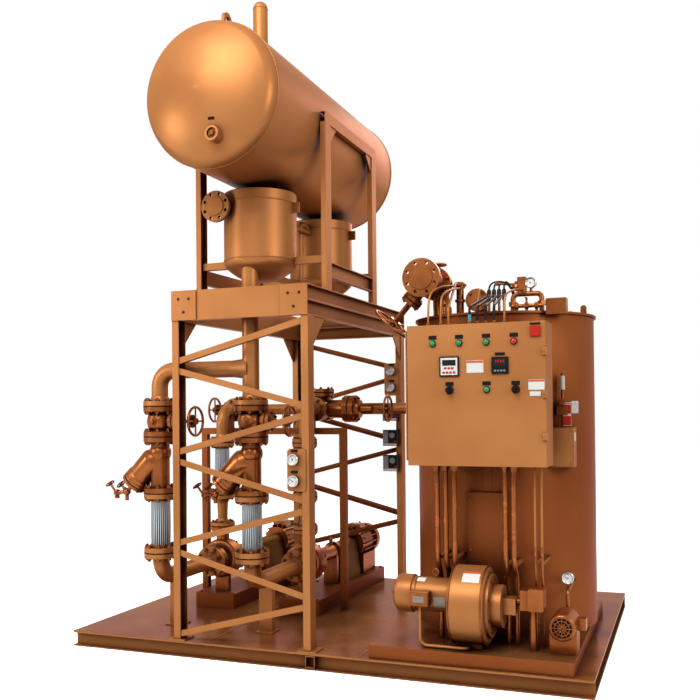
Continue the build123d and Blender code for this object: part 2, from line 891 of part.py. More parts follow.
# Deaerator vessels: shells, dished ends, the flanged inlet and the balance pipe
with BuildPart() as deaerator_shells:
    for y in (front_vessel_y, back_vessel_y):
        post_rod(tower_centre_x, y, vessel_bottom_seam, vessel_top_seam, vessel_radius)
        tab_reach = vessel_radius + tab_width
        block((tower_centre_x - tab_reach, tower_centre_x + tab_reach),
              (y - tab_thickness / 2, y + tab_thickness / 2), (vessel_top_seam - tab_height, vessel_top_seam))
        post_rod(tower_centre_x, y, vessel_bottom_seam, vessel_top_seam,
                 vessel_radius - vessel_wall, mode=Mode.SUBTRACT)
deaerator_shells.part.label = "deaerator_shells"
export_step(deaerator_shells.part, "parts/deaerator_shells.step")

with BuildPart() as deaerator_heads:
    for y in (front_vessel_y, back_vessel_y):
        seam = Plane(origin=(tower_centre_x, y, vessel_top_seam))
        dome(seam, vessel_radius, vessel_top_depth)
        post_rod(tower_centre_x, y, vessel_top_seam, tank_z - tank_radius + neck_height, neck_radius)
        dome(seam, vessel_radius, vessel_top_depth, vessel_wall, Mode.SUBTRACT)
    tank_saddle(contact_gap)
    for y in (front_vessel_y, back_vessel_y):
        seam = Plane(origin=(tower_centre_x, y, vessel_bottom_seam), x_dir=(1, 0, 0), z_dir=(0, 0, -1))
        dome(seam, vessel_radius, vessel_bottom_depth)
        if y == front_vessel_y:
            post_rod(tower_centre_x, suction_y, nozzle_bottom, vessel_bottom_seam, suction_pipe_radius)
        dome(seam, vessel_radius, vessel_bottom_depth, vessel_wall, Mode.SUBTRACT)
deaerator_heads.part.label = "deaerator_heads"
export_step(deaerator_heads.part, "parts/deaerator_heads.step")


def drilled_flange(centre, thickness, radius, bolt_circle, hole_radius):
    # A flange behind a front face, with a blank disc and a ring of bolt holes
    x, y, z = centre
    rod((x, y + thickness, z), (x, y, z), radius)
    rod((x, y, z), (x, y - blank_height, z), bolt_circle / 2 - 2 * hole_radius)
    with Locations(Plane(origin=(x, y + thickness / 2, z), x_dir=(1, 0, 0), z_dir=(0, -1, 0))):
        with PolarLocations(bolt_circle / 2, flange_hole_count, start_angle=180 / flange_hole_count):
            Cylinder(hole_radius, 2 * thickness, mode=Mode.SUBTRACT)


with BuildPart() as deaerator_pipes:
    inlet_x = tower_centre_x + inlet_offset_x
    inlet_y = front_vessel_y - inlet_length
    inlet_z = vessel_top_seam - inlet_drop_height
    rod((inlet_x, front_vessel_y, inlet_z), (inlet_x, inlet_y, inlet_z), inlet_pipe_radius)
    post_rod(tower_centre_x, front_vessel_y, vessel_bottom_seam - head_depth, vessel_top_seam + head_depth,
             vessel_radius + contact_gap, mode=Mode.SUBTRACT)
    drilled_flange((inlet_x, inlet_y, inlet_z), inlet_flange_thickness,
                   inlet_flange_radius, inlet_bolt_circle, inlet_hole_radius)
    balance_high = vessel_top_seam - inlet_drop_height
    balance_low = balance_high - balance_drop_height
    balance_y = (front_vessel_y + back_vessel_y) / 2
    pipe([(tower_centre_x, back_vessel_y, balance_high), (tower_centre_x, balance_y, balance_high),
          (tower_centre_x, balance_y, balance_low), (tower_centre_x, front_vessel_y, balance_low)],
         balance_radius, balance_bend_radius)
    for y in (front_vessel_y, back_vessel_y):
        post_rod(tower_centre_x, y, vessel_bottom_seam, vessel_top_seam,
                 vessel_radius + contact_gap, mode=Mode.SUBTRACT)
deaerator_pipes.part.label = "deaerator_pipes"
export_step(deaerator_pipes.part, "parts/deaerator_pipes.step")

# Suction lines: riser and branch, valves, strainers, flexible connectors and elbows
up = (0, 0, 1)
down = (0, 0, -1)
forward = (0, -1, 0)
backward = (0, 1, 0)
with BuildPart() as suction_piping:
    post_rod(tower_centre_x, suction_y, valve_top, nozzle_bottom, suction_pipe_radius)
    taper((tower_centre_x, suction_y, tee_z), (tower_centre_x - tee_hub_length, suction_y, tee_z),
          suction_pipe_radius + hub_extra_radius, suction_pipe_radius + contact_gap)
    pipe([(tower_centre_x, suction_y, tee_z), (pump_lines[0], suction_y, tee_z),
          (pump_lines[0], suction_y, valve_top)], suction_pipe_radius, branch_bend_radius)
    for x in pump_lines:
        weld_neck((x, suction_y, valve_top), up, suction_flange_radius, suction_flange_thickness, suction_pipe_radius)
        pipe([(x, suction_y, flex_bottom), (x, suction_y, pump_z), (x, pump_suction_face, pump_z)],
             suction_pipe_radius, suction_bend_radius)
        post_rod(x, suction_y, flex_bottom - suction_flange_thickness, flex_bottom, suction_flange_radius)
        weld_neck((x, pump_suction_face, pump_z), forward,
                  suction_flange_radius, suction_flange_thickness, suction_pipe_radius)
        block((x - suction_stand_width / 2, x + suction_stand_width / 2),
              (suction_stand_y - suction_stand_depth / 2, suction_stand_y + suction_stand_depth / 2),
              (deck_top, pump_z))
        block((x - foot_side / 2, x + foot_side / 2),
              (suction_stand_y - foot_side / 2, suction_stand_y + foot_side / 2), (deck_top, foot_top))
suction_piping.part.label = "suction_piping"
export_step(suction_piping.part, "parts/suction_piping.step")
with BuildPart() as line_valves:
    for x in pump_lines:
        post_rod(x, suction_y, valve_bottom, valve_top, suction_pipe_radius + neck_extra_radius)
        for z in (valve_bottom, valve_top - suction_flange_thickness):
            post_rod(x, suction_y, z, z + suction_flange_thickness, suction_flange_radius)
        with Locations((x, suction_y, valve_z)):
            Sphere(valve_radius)
        bonnet((x, suction_y, valve_z), (1, 0, 0), suction_wheel_length, backward)
    for x, way, reach in ((pump_lines[0], -1, first_discharge_wheel_length),
                          (pump_lines[1], 1, second_discharge_wheel_length)):
        rod((x, discharge_valve_start, discharge_z), (x, discharge_valve_end, discharge_z),
            discharge_pipe_radius + neck_extra_radius)
        for y in (discharge_valve_start, discharge_valve_end - discharge_flange_thickness):
            rod((x, y, discharge_z), (x, y + discharge_flange_thickness, discharge_z), discharge_flange_radius)
        centre = (x, discharge_valve_y, discharge_z)
        with Locations(centre):
            Sphere(discharge_valve_radius)
        bonnet(centre, (way, 0, 0), reach, (0, 0, 1))
    cover_top = discharge_z + cover_height
    post_rod(pump_lines[1], discharge_valve_y, discharge_z, cover_top, cover_neck_radius)
    post_rod(pump_lines[1], discharge_valve_y, cover_top - cover_thickness, cover_top + cover_thickness, cover_radius)
line_valves.part.label = "line_valves"
export_step(line_valves.part, "parts/line_valves.step")

slope = sqrt(0.5)
leg_way = (-slope, 0, -slope)
stem_way = (-slope, 0, slope)
with BuildPart() as first_strainer:
    strainer_top = strainer_bottom + strainer_height + 2 * suction_flange_thickness
    start = (pump_lines[0], suction_y, strainer_bottom + suction_flange_thickness + strainer_height * strainer_leg_share)
    post_rod(*start[:2], strainer_bottom, strainer_top, suction_pipe_radius + hub_extra_radius / 2)
    for z in (strainer_bottom, strainer_top - suction_flange_thickness):
        post_rod(*start[:2], z, z + suction_flange_thickness, suction_flange_radius)
    with Locations(start):
        Sphere(strainer_radius)
    leg_end = along(start, leg_way, strainer_leg_length)
    cover = along(leg_end, leg_way, 2 * strainer_cover_thickness)
    boss = along(cover, leg_way, strainer_boss_height)
    valve = along(boss, leg_way, blowdown_length)
    wheel = along(valve, stem_way, blowdown_stem_length)
    taper(start, leg_end, strainer_leg_radius, strainer_cover_end_radius)
    rod(leg_end, cover, strainer_cover_radius)
    rod(cover, boss, strainer_boss_radius)
    rod(boss, valve, blowdown_radius)
    with Locations(valve):
        Sphere(blowdown_valve_radius)
    rod(valve, along(valve, down, blowdown_outlet_length), blowdown_radius)
    rod(valve, wheel, blowdown_stem_radius)
    rod(valve, along(valve, stem_way, blowdown_stem_length / 2), blowdown_radius)
    small_wheel(wheel, stem_way, blowdown_wheel_radius, blowdown_rim_radius)

with BuildPart() as y_strainers:
    with Locations((0, 0, 0), (pump_pitch, 0, 0)):
        add(first_strainer.part)
y_strainers.part.label = "y_strainers"
export_step(y_strainers.part, "parts/y_strainers.step")
with BuildPart() as flex_connectors:
    for x in pump_lines:
        top = flex_bottom + flex_height
        for z in (flex_bottom, top - suction_flange_thickness):
            post_rod(x, suction_y, z, z + suction_flange_thickness, suction_flange_radius)
        post_rod(x, suction_y, flex_bottom, top, braid_radius)
        for z in (flex_bottom + suction_flange_thickness, top - suction_flange_thickness - collar_height):
            post_rod(x, suction_y, z, z + collar_height, collar_radius)
    for x in pump_lines:
        for z in (riser_top, discharge_flex_top - discharge_flange_thickness):
            post_rod(x, volute_y, z, z + discharge_flange_thickness, discharge_flange_radius)
        post_rod(x, volute_y, riser_top, discharge_flex_top, discharge_braid_radius)
flex_connectors.part.label = "flex_connectors"
export_step(flex_connectors.part, "parts/flex_connectors.step")

# Pumps: casings, bases, coupling guards and finned motors
with BuildPart() as pump_casings:
    for x in pump_lines:
        volute_front = volute_y - volute_width / 2
        volute_back = volute_y + volute_width / 2
        rod((x, volute_front, pump_z), (x, volute_back, pump_z), volute_radius)
        rims = pump_casings.edges().filter_by(GeomType.CIRCLE).filter_by_position(Axis.X, x - 1, x + 1)
        fillet(rims, volute_fillet)
        flange_back = pump_suction_face + suction_flange_thickness
        rod((x, pump_suction_face, pump_z), (x, flange_back, pump_z), suction_flange_radius)
        taper((x, flange_back, pump_z), (x, volute_y, pump_z), suction_pipe_radius + neck_extra_radius, volute_radius - volute_fillet)
        post_rod(x, volute_y, pump_z, riser_bottom, discharge_neck_radius)
        post_rod(x, volute_y, riser_bottom - discharge_flange_thickness, riser_bottom, discharge_flange_radius)
        ring_end = volute_back
        for ring in (1, 2, 3):
            ring_start = ring_end
            ring_end = ring_start + cover_ring_depth
            rod((x, ring_start, pump_z), (x, ring_end, pump_z), volute_radius - ring * cover_ring_step)
        cap_start = bearing_end - bearing_cap_depth
        taper((x, ring_end, pump_z), (x, (ring_end + cap_start) / 2, pump_z), bearing_cap_radius + cover_ring_step, bearing_radius + contact_gap)
        rod((x, volute_back, pump_z), (x, bearing_end, pump_z), bearing_radius)
        rod((x, cap_start, pump_z), (x, bearing_end, pump_z), bearing_cap_radius)
        rod((x, volute_back, pump_z), (x, guard_start, pump_z), shaft_radius)
        cup_y = cap_start - 2 * oil_cup_radius
        post_rod(x, cup_y, pump_z, pump_z + bearing_radius + oil_cup_height, oil_cup_radius)
        for y in (volute_y, bearing_end - bearing_radius):
            block((x - bearing_radius, x + bearing_radius), (y - shaft_radius, y + shaft_radius),
                  (base_top, pump_z))
pump_casings.part.label = "pump_casings"
export_step(pump_casings.part, "parts/pump_casings.step")

with BuildPart() as pump_bases:
    for x in pump_lines:
        block((x - base_width / 2, x + base_width / 2), (base_front, base_end), (deck_top, base_top))
        block((x - base_width / 2 + base_plate_thickness, x + base_width / 2 - base_plate_thickness),
              (base_front + base_plate_thickness, base_end - base_plate_thickness),
              (deck_top, base_top - base_plate_thickness), mode=Mode.SUBTRACT)
pump_bases.part.label = "pump_bases"
export_step(pump_bases.part, "parts/pump_bases.step")

with BuildPart() as coupling_guards:
    for x in pump_lines:
        with BuildSketch(Plane(origin=(x, guard_start, pump_z), x_dir=(1, 0, 0), z_dir=forward)) as arch:
            with BuildLine():
                RadiusArc((-guard_radius, 0), (guard_radius, 0), guard_radius)
                Polyline((guard_radius, 0), (guard_foot_width / 2, base_top - pump_z),
                         (-guard_foot_width / 2, base_top - pump_z), (-guard_radius, 0))
            make_face()
        extrude(arch.sketch, amount=-guard_length)
coupling_guards.part.label = "coupling_guards"
export_step(coupling_guards.part, "parts/coupling_guards.step")
def finned_motor(start, direction, length, radius, fin_height):
    # A motor body with cooling fins along it and a smooth fan cowl at the far end
    cowl_start = length - fan_cowl_length
    rod(start, along(start, direction, length), radius)
    rod(along(start, direction, cowl_start), along(start, direction, length - fan_cowl_length / 4),
        radius + fin_height)
    middle = along(start, direction, cowl_start / 2)
    with Locations(Plane(origin=middle, z_dir=direction)):
        with PolarLocations(radius, motor_fin_count):
            Box(2 * fin_height, motor_fin_thickness, cowl_start * motor_fin_share)


with BuildPart() as pump_motors:
    for x in pump_lines:
        finned_motor((x, motor_start, pump_z), (0, 1, 0), motor_length, motor_radius, motor_fin_height)
        rod((x, guard_end, pump_z), (x, motor_start, pump_z), shaft_radius)
        block((x - pedestal_width / 2, x + pedestal_width / 2),
              (motor_start + motor_fin_thickness, base_end - fan_cowl_length),
              (base_top, pump_z - motor_radius * motor_foot_share))
        block((x - motor_box_width / 2, x + motor_box_width / 2),
              (motor_start + motor_box_width / 2, motor_start + motor_box_width * 1.5),
              (pump_z, pump_z + motor_radius + motor_fin_height * 2))
pump_motors.part.label = "pump_motors"
export_step(pump_motors.part, "parts/pump_motors.step")

# Discharge lines: reducers, flexible connectors, valves, elbows and the common header
with BuildPart() as discharge_piping:
    for x in pump_lines:
        flange = (discharge_flange_radius, discharge_flange_thickness, discharge_pipe_radius)
        weld_neck((x, volute_y, riser_bottom), up, discharge_flange_radius, discharge_flange_thickness,
                  reducer_small_radius)
        taper((x, volute_y, riser_bottom), (x, volute_y, riser_top), reducer_small_radius, discharge_pipe_radius)
        weld_neck((x, volute_y, riser_top), down, *flange)
        pipe([(x, volute_y, discharge_flex_top), (x, volute_y, discharge_z), (x, discharge_valve_start, discharge_z)],
             discharge_pipe_radius, discharge_bend_radius)
        weld_neck((x, volute_y, discharge_flex_top), up, *flange)
        weld_neck((x, discharge_valve_start, discharge_z), forward, *flange)
        weld_neck((x, discharge_valve_end, discharge_z), backward, *flange)
    pipe([(pump_lines[0], discharge_valve_end, discharge_z), (pump_lines[0], header_y, discharge_z),
          (heater_x, header_y, discharge_z)], discharge_pipe_radius, header_bend_radius)
    rod((pump_lines[1], discharge_valve_end, discharge_z), (pump_lines[1], header_y, discharge_z),
        discharge_pipe_radius)
    heater_saddle()
discharge_piping.part.label = "discharge_piping"
export_step(discharge_piping.part, "parts/discharge_piping.step")

with BuildPart() as pipe_support_legs:
    beam_top = discharge_z - discharge_flange_radius - shoe_width
    beam_y = (support_y - support_leg_width / 2, support_y + support_leg_width / 2)
    for x in (support_left, support_right):
        block((x - support_leg_width / 2, x + support_leg_width / 2), beam_y, (deck_top, beam_top - support_beam_height))
pipe_support_legs.part.label = "pipe_support_legs"
export_step(pipe_support_legs.part, "parts/pipe_support_legs.step")

with BuildPart() as pipe_support_beam:
    block((support_left - support_leg_width / 2, support_right + support_leg_width / 2), beam_y,
          (beam_top - support_beam_height, beam_top))
    for x in pump_lines:
        block((x - shoe_width / 2, x + shoe_width / 2), beam_y, (beam_top, discharge_z))
        rod((x, beam_y[0], discharge_z), (x, beam_y[1], discharge_z),
            discharge_pipe_radius + contact_gap, mode=Mode.SUBTRACT)
pipe_support_beam.part.label = "pipe_support_beam"
export_step(pipe_support_beam.part, "parts/pipe_support_beam.step")

# Heater: plinth, round casing, top plate, burner panel and what is fixed to them
with BuildPart() as heater_plinth:
    block((plinth_left, plinth_right), (plinth_front, plinth_back), (deck_top, plinth_top))
heater_plinth.part.label = "heater_plinth"
export_step(heater_plinth.part, "parts/heater_plinth.step")

with BuildPart() as heater_casing:
    post_rod(heater_x, heater_y, plinth_top, heater_top_z, heater_radius)
heater_casing.part.label = "heater_casing"
export_step(heater_casing.part, "parts/heater_casing.step")

with BuildPart() as heater_top:
    post_rod(heater_x, heater_y, heater_top_z, heater_roof, heater_radius + top_plate_overhang)
heater_top.part.label = "heater_top"
export_step(heater_top.part, "parts/heater_top.step")

with BuildPart() as heater_fittings:
    manifold_z = heater_roof + manifold_height
    manifold_ends = (heater_x + manifold_left_x, heater_x + manifold_right_x)
    pipe([(manifold_ends[0], fitting_y, heater_roof), (manifold_ends[0], fitting_y, manifold_z),
          (manifold_ends[1], fitting_y, manifold_z), (manifold_ends[1], fitting_y, heater_roof)],
         manifold_radius, 2 * manifold_radius)
    dial_x = heater_x + manifold_gauge_x
    dial_z = heater_roof + manifold_gauge_height
    post_rod(dial_x, fitting_y, manifold_z, dial_z, manifold_radius / 2)
    rod((dial_x, fitting_y + manifold_radius, dial_z), (dial_x, fitting_y - manifold_radius, dial_z), gauge_radius)
    block((heater_x + manifold_switch_x - manifold_switch_width / 2,
           heater_x + manifold_switch_x + manifold_switch_width / 2),
          (fitting_y - manifold_switch_width / 2, fitting_y + manifold_switch_width / 2),
          (manifold_z, manifold_z + 2 * manifold_switch_width))
    for index in range(probe_count):
        probe_x = heater_x + probe_left_x + index * probe_pitch
        probe_top = heater_roof + probe_height
        post_rod(probe_x, fitting_y, heater_roof, probe_top, probe_stem_radius)
        post_rod(probe_x, fitting_y, probe_top - probe_head_height, probe_top, probe_head_radius)
    relief_x = heater_x + relief_offset_x
    relief_y = heater_y - relief_distance
    relief_top = heater_roof + relief_height
    post_rod(relief_x, relief_y, heater_roof, relief_top, relief_radius)
    for z in (relief_top - relief_cap_thickness, heater_roof + relief_height / 2):
        post_rod(relief_x, relief_y, z, z + relief_cap_thickness, relief_cap_radius)
    elbow_x = heater_x + elbow_offset_x
    elbow_y = heater_y - elbow_distance
    elbow_z = heater_roof + elbow_rise_height
    elbow_face = elbow_y - elbow_run_length
    pipe([(elbow_x, elbow_y, heater_roof), (elbow_x, elbow_y, elbow_z), (elbow_x, elbow_face, elbow_z)],
         discharge_pipe_radius, elbow_bend_radius)
    rod((elbow_x, elbow_face + elbow_flange_thickness, elbow_z),
        (elbow_x, elbow_face - elbow_flange_thickness, elbow_z), elbow_flange_radius)
    loop_x = heater_x + roof_loop_offset_x
    loop_top = heater_roof + roof_loop_height
    pipe([(loop_x - roof_loop_width / 2, fitting_y, heater_roof), (loop_x - roof_loop_width / 2, fitting_y, loop_top),
          (loop_x + roof_loop_width / 2, fitting_y, loop_top), (loop_x + roof_loop_width / 2, fitting_y, heater_roof)],
         roof_loop_radius, roof_loop_width / 2 - roof_loop_radius / 2)
    eye_x = heater_x + roof_eye_offset_x
    eye_y = heater_y - roof_eye_distance
    block((eye_x - roof_eye_width / 2, eye_x + roof_eye_width / 2),
          (eye_y - tab_thickness / 2, eye_y + tab_thickness / 2), (heater_roof, heater_roof + roof_eye_height))
    rod((eye_x, eye_y - tab_thickness / 2, heater_roof + roof_eye_height),
        (eye_x, eye_y + tab_thickness / 2, heater_roof + roof_eye_height), roof_eye_width / 2)
    box_x = heater_x + roof_box_offset_x
    box_y = heater_y - roof_box_distance
    box_bottom = heater_roof - roof_box_lift_height
    block((box_x - roof_box_width / 2, box_x + roof_box_width / 2),
          (box_y - roof_box_depth / 2, box_y + roof_box_depth / 2), (box_bottom, box_bottom + roof_box_height))
    block((box_x - roof_box_post_width / 2, box_x + roof_box_post_width / 2), (box_y, heater_y - heater_radius / 2),
          (heater_roof, heater_roof + roof_box_post_width))
    post_rod(heater_x, heater_y, plinth_top, heater_roof,
             heater_radius + top_plate_overhang + contact_gap, mode=Mode.SUBTRACT)
heater_fittings.part.label = "heater_fittings"
export_step(heater_fittings.part, "parts/heater_fittings.step")
with BuildPart() as burner_panel:
    panel_z = plinth_top + panel_bottom_height
    block((heater_x - panel_width / 2, heater_x + panel_width / 2), (panel_front, heater_y),
          (panel_z, panel_z + panel_height))
    heater_saddle()
burner_panel.part.label = "burner_panel"
export_step(burner_panel.part, "parts/burner_panel.step")

with BuildPart() as blower_housing:
    rod((blower_left, blower_y, blower_z), (blower_right, blower_y, blower_z), blower_radius)
    fillet(blower_housing.edges().filter_by(GeomType.CIRCLE), blower_fillet)
    duct_x = (blower_left + blower_right) / 2
    block((duct_x - duct_width / 2, duct_x + duct_width / 2), (blower_y, panel_front),
          (blower_z - duct_height / 2, blower_z + duct_height / 2))
    block((duct_x - duct_width / 2, duct_x + duct_width / 2),
          (blower_y - duct_width / 2, blower_y + duct_width / 2), (plinth_top, blower_z))
    flange_right = blower_right + blower_flange_thickness
    rod((blower_right, blower_y, blower_z), (flange_right, blower_y, blower_z), blower_flange_radius)
    rod((flange_right, blower_y, blower_z), (flange_right + blower_inlet_length, blower_y, blower_z),
        blower_inlet_radius)
    damper_z = plinth_top + damper_bottom_height
    damper_right = blower_right + damper_length
    block((blower_right, damper_right), (blower_y - damper_width / 2, blower_y + damper_width / 2),
          (damper_z, damper_z + damper_height))
blower_housing.part.label = "blower_housing"
export_step(blower_housing.part, "parts/blower_housing.step")

with BuildPart() as blower_motor:
    motor_z = plinth_top + blower_motor_height
    motor_left = blower_left - blower_motor_length
    cowl_right = motor_left + blower_cowl_length
    rod((motor_left, blower_y, motor_z), (cowl_right, blower_y, motor_z), blower_cowl_radius)
    fillet(blower_motor.edges().filter_by(GeomType.CIRCLE).sort_by(Axis.X)[0], blower_cowl_fillet)
    rod((cowl_right, blower_y, motor_z), (blower_left, blower_y, motor_z), blower_motor_radius)
    foot_x = blower_left - blower_motor_length / 2
    block((foot_x - blower_motor_radius, foot_x + blower_motor_radius),
          (blower_y - blower_motor_radius, blower_y + blower_motor_radius),
          (plinth_top, motor_z - blower_motor_radius * motor_foot_share))
    block((foot_x - terminal_box_width / 2, foot_x + terminal_box_width / 2),
          (blower_y - blower_motor_radius - terminal_box_depth, blower_y),
          (motor_z - terminal_box_height / 2, motor_z + terminal_box_height / 2))
blower_motor.part.label = "blower_motor"
export_step(blower_motor.part, "parts/blower_motor.step")

actuator_left = damper_right + fuel_gap
with BuildPart() as gas_train:
    actuator_z = plinth_top + actuator_bottom_height
    actuator_x = actuator_left + actuator_length / 2
    actuator_y = (blower_y - actuator_width / 2, blower_y + actuator_width / 2)
    block((actuator_left + actuator_side_length, actuator_left + actuator_length), actuator_y,
          (actuator_z, actuator_z + actuator_height))
    fillet(gas_train.edges().filter_by(Axis.Y), actuator_fillet)
    block((actuator_left, actuator_left + actuator_side_length),
          (blower_y - actuator_side_length, blower_y + actuator_side_length),
          (actuator_z, actuator_z + actuator_height - actuator_fillet))
    fuel_z = actuator_z + 2 * fuel_pipe_radius
    rod((damper_right, blower_y, fuel_z), (actuator_x, blower_y, fuel_z), fuel_pipe_radius)
    post_rod(actuator_x, blower_y, plinth_top, actuator_z, fuel_pipe_radius)
gas_train.part.label = "gas_train"
export_step(gas_train.part, "parts/gas_train.step")
with BuildPart() as oil_pump:
    oil_z = plinth_top + oil_pump_height
    oil_back = oil_pump_front + oil_pump_length
    oil_pipe_y = oil_back + oil_head_length / 2
    rod((oil_pump_x, oil_pump_front, oil_z), (oil_pump_x, oil_back, oil_z), oil_pump_radius)
    fillet(oil_pump.edges().filter_by(GeomType.CIRCLE), oil_pump_fillet)
    block((oil_pump_x, oil_pump_x + oil_pump_radius + oil_box_width),
          (oil_back - oil_box_height - oil_head_radius, oil_back - oil_head_radius),
          (oil_z - oil_box_height / 2, oil_z + oil_box_height / 2))
    rod((oil_pump_x, oil_back, oil_z), (oil_pump_x, oil_back + oil_head_length, oil_z), oil_head_radius)
    block((oil_pump_x - oil_pump_radius, oil_pump_x + oil_pump_radius),
          (oil_pump_front + oil_head_radius, oil_back - oil_head_radius), (plinth_top, oil_z))
    pipe([(oil_pump_x, oil_pipe_y, oil_z), (oil_pump_x, oil_pipe_y, oil_z + oil_pipe_height),
          (oil_pump_x, heater_y, oil_z + oil_pipe_height)], oil_pipe_radius, 3 * oil_pipe_radius)
    gauge_z = oil_z + oil_pipe_height + gauge_radius * 2
    gauge_y = oil_pipe_y + 4 * oil_pipe_radius
    post_rod(oil_pump_x, gauge_y, oil_z + oil_pipe_height, gauge_z, oil_pipe_radius / 2)
    rod((oil_pump_x, gauge_y - gauge_depth, gauge_z), (oil_pump_x, gauge_y + oil_pipe_radius, gauge_z), gauge_radius)
    heater_saddle()
oil_pump.part.label = "oil_pump"
export_step(oil_pump.part, "parts/oil_pump.step")

with BuildPart() as junction_box:
    junction_z = plinth_top + junction_bottom_height
    block((junction_x - junction_width / 2, junction_x + junction_width / 2), (junction_front, heater_y),
          (junction_z, junction_z + junction_height))
    post_rod(heater_x, heater_y, junction_z, junction_z + junction_height,
             heater_radius + contact_gap, mode=Mode.SUBTRACT)
    block((junction_x - junction_width, junction_x + 2 * junction_width),
          (junction_front + junction_width, heater_y), (junction_z, junction_z + junction_height),
          mode=Mode.SUBTRACT)
junction_box.part.label = "junction_box"
export_step(junction_box.part, "parts/junction_box.step")

sight_y = junction_front + junction_width / 4
with BuildPart() as sight_glass_assembly:
    post_rod(junction_x, sight_y, junction_top, junction_top + sight_tube_length, sight_tube_radius)
    glass_z = junction_top + sight_glass_lift_height
    post_rod(junction_x, sight_y, glass_z, glass_z + sight_glass_length, sight_glass_radius)
    shutoff_z = junction_top + shutoff_lift_height
    block((junction_x - shutoff_width / 2, junction_x + shutoff_width / 2),
          (sight_y - shutoff_depth / 2, sight_y + shutoff_depth / 2), (shutoff_z, shutoff_z + shutoff_height))
    valve_middle = junction_top + sight_valve_lift_height
    rod((junction_x, sight_y + sight_valve_length / 2, valve_middle),
        (junction_x, sight_y - sight_valve_length, valve_middle), sight_valve_radius)
sight_glass_assembly.part.label = "sight_glass_assembly"
export_step(sight_glass_assembly.part, "parts/sight_glass_assembly.step")

outlet_turn = radians(outlet_stem_angle)
outlet_way = (cos(outlet_turn), 0, sin(outlet_turn))
outlet_centre = (outlet_x, outlet_valve_y, outlet_z)
with BuildPart() as outlet_valve:
    pipe([(outlet_x, outlet_riser_y, heater_roof), (outlet_x, outlet_riser_y, outlet_z),
          (outlet_x, outlet_face, outlet_z)], suction_pipe_radius, outlet_bend_radius)
    with Locations(outlet_centre):
        Sphere(outlet_body_radius)
    bonnet(outlet_centre, outlet_way, outlet_wheel_length, backward)
    outlet_joint = (outlet_x, outlet_valve_y + outlet_joint_distance, outlet_z)
    for way in (forward, backward):
        rod(outlet_joint, along(outlet_joint, way, discharge_flange_thickness), suction_flange_radius)
    drilled_flange((outlet_x, outlet_face, outlet_z), outlet_flange_thickness,
                   outlet_flange_radius, outlet_bolt_circle, outlet_hole_radius)
    vent_wheel = (outlet_x, outlet_riser_y - outlet_vent_distance, outlet_z + outlet_vent_height)
    rod(along(vent_wheel, down, outlet_vent_height), vent_wheel, outlet_vent_radius)
    small_wheel(vent_wheel, up, outlet_vent_wheel_radius, outlet_vent_rim_radius)
outlet_valve.part.label = "outlet_valve"
export_step(outlet_valve.part, "parts/outlet_valve.step")
# Control cabinet: four walls, back plate, brackets, hinged door and its controls
box_z = (cabinet_floor, cabinet_roof)
box_back = cabinet_back - cabinet_wall
hinge_low = cabinet_floor + hinge_inset
hinge_step = (cabinet_height - 2 * hinge_inset) / hinge_segment_count


def knuckle(index):
    # The low and high ends of one hinge segment
    low = hinge_low + index * hinge_step
    return low + hinge_segment_gap / 2, low + hinge_step - hinge_segment_gap / 2


with BuildPart() as cabinet_side_walls:
    for x in (cabinet_left, cabinet_right - cabinet_wall):
        block((x, x + cabinet_wall), (box_front, box_back), box_z)
    for index in range(0, hinge_segment_count, 2):
        low, high = knuckle(index)
        post_rod(hinge_x, hinge_y, low, high, hinge_radius)
        block((hinge_x - hinge_leaf_width / 2, hinge_x + hinge_leaf_width / 2),
              (hinge_y, box_front + 2 * hinge_leaf_width), (low, high))
        block((hinge_x, cabinet_left + cabinet_wall),
              (box_front + hinge_leaf_width, box_front + 2 * hinge_leaf_width), (low, high))
    post_rod(hinge_x, hinge_y, knuckle(0)[0], knuckle(hinge_segment_count - 1)[1], hinge_pin_radius)
cabinet_side_walls.part.label = "cabinet_side_walls"
export_step(cabinet_side_walls.part, "parts/cabinet_side_walls.step")

with BuildPart() as cabinet_top_and_floor:
    for z in (cabinet_floor, cabinet_roof - cabinet_wall):
        block((cabinet_left + cabinet_wall, cabinet_right - cabinet_wall), (box_front, box_back),
              (z, z + cabinet_wall))
cabinet_top_and_floor.part.label = "cabinet_top_and_floor"
export_step(cabinet_top_and_floor.part, "parts/cabinet_top_and_floor.step")

with BuildPart() as cabinet_backplate:
    block((cabinet_left, cabinet_right), (box_back, cabinet_back), box_z)
cabinet_backplate.part.label = "cabinet_backplate"
export_step(cabinet_backplate.part, "parts/cabinet_backplate.step")

cabinet_middle = (cabinet_left + cabinet_right) / 2
with BuildPart() as cabinet_brackets:
    for x in (cabinet_middle - bracket_pitch / 2, cabinet_middle + bracket_pitch / 2):
        for z in (cabinet_floor + 2 * bracket_width, cabinet_roof - 3 * bracket_width):
            block((x - bracket_width / 2, x + bracket_width / 2), (cabinet_back, heater_y), (z, z + bracket_width))
    heater_saddle()
cabinet_brackets.part.label = "cabinet_brackets"
export_step(cabinet_brackets.part, "parts/cabinet_brackets.step")

door_left = cabinet_left + door_edge_gap
with BuildPart() as cabinet_door:
    block((door_left, cabinet_right), (cabinet_front, door_back), box_z)
    for index in range(1, hinge_segment_count, 2):
        low, high = knuckle(index)
        post_rod(hinge_x, hinge_y, low, high, hinge_radius)
        block((hinge_x, door_left), (hinge_y - hinge_leaf_width / 2, hinge_y + hinge_leaf_width / 2), (low, high))
        post_rod(hinge_x, hinge_y, low, high, hinge_pin_radius + hinge_clearance, mode=Mode.SUBTRACT)
cabinet_door.part.label = "cabinet_door"
export_step(cabinet_door.part, "parts/cabinet_door.step")


def on_door(x, drop, width, height, depth):
    # A flat rectangular device on the door, placed by its middle
    z = cabinet_roof - drop
    block((cabinet_left + x - width / 2, cabinet_left + x + width / 2),
          (cabinet_front - depth, cabinet_front), (z - height / 2, z + height / 2))


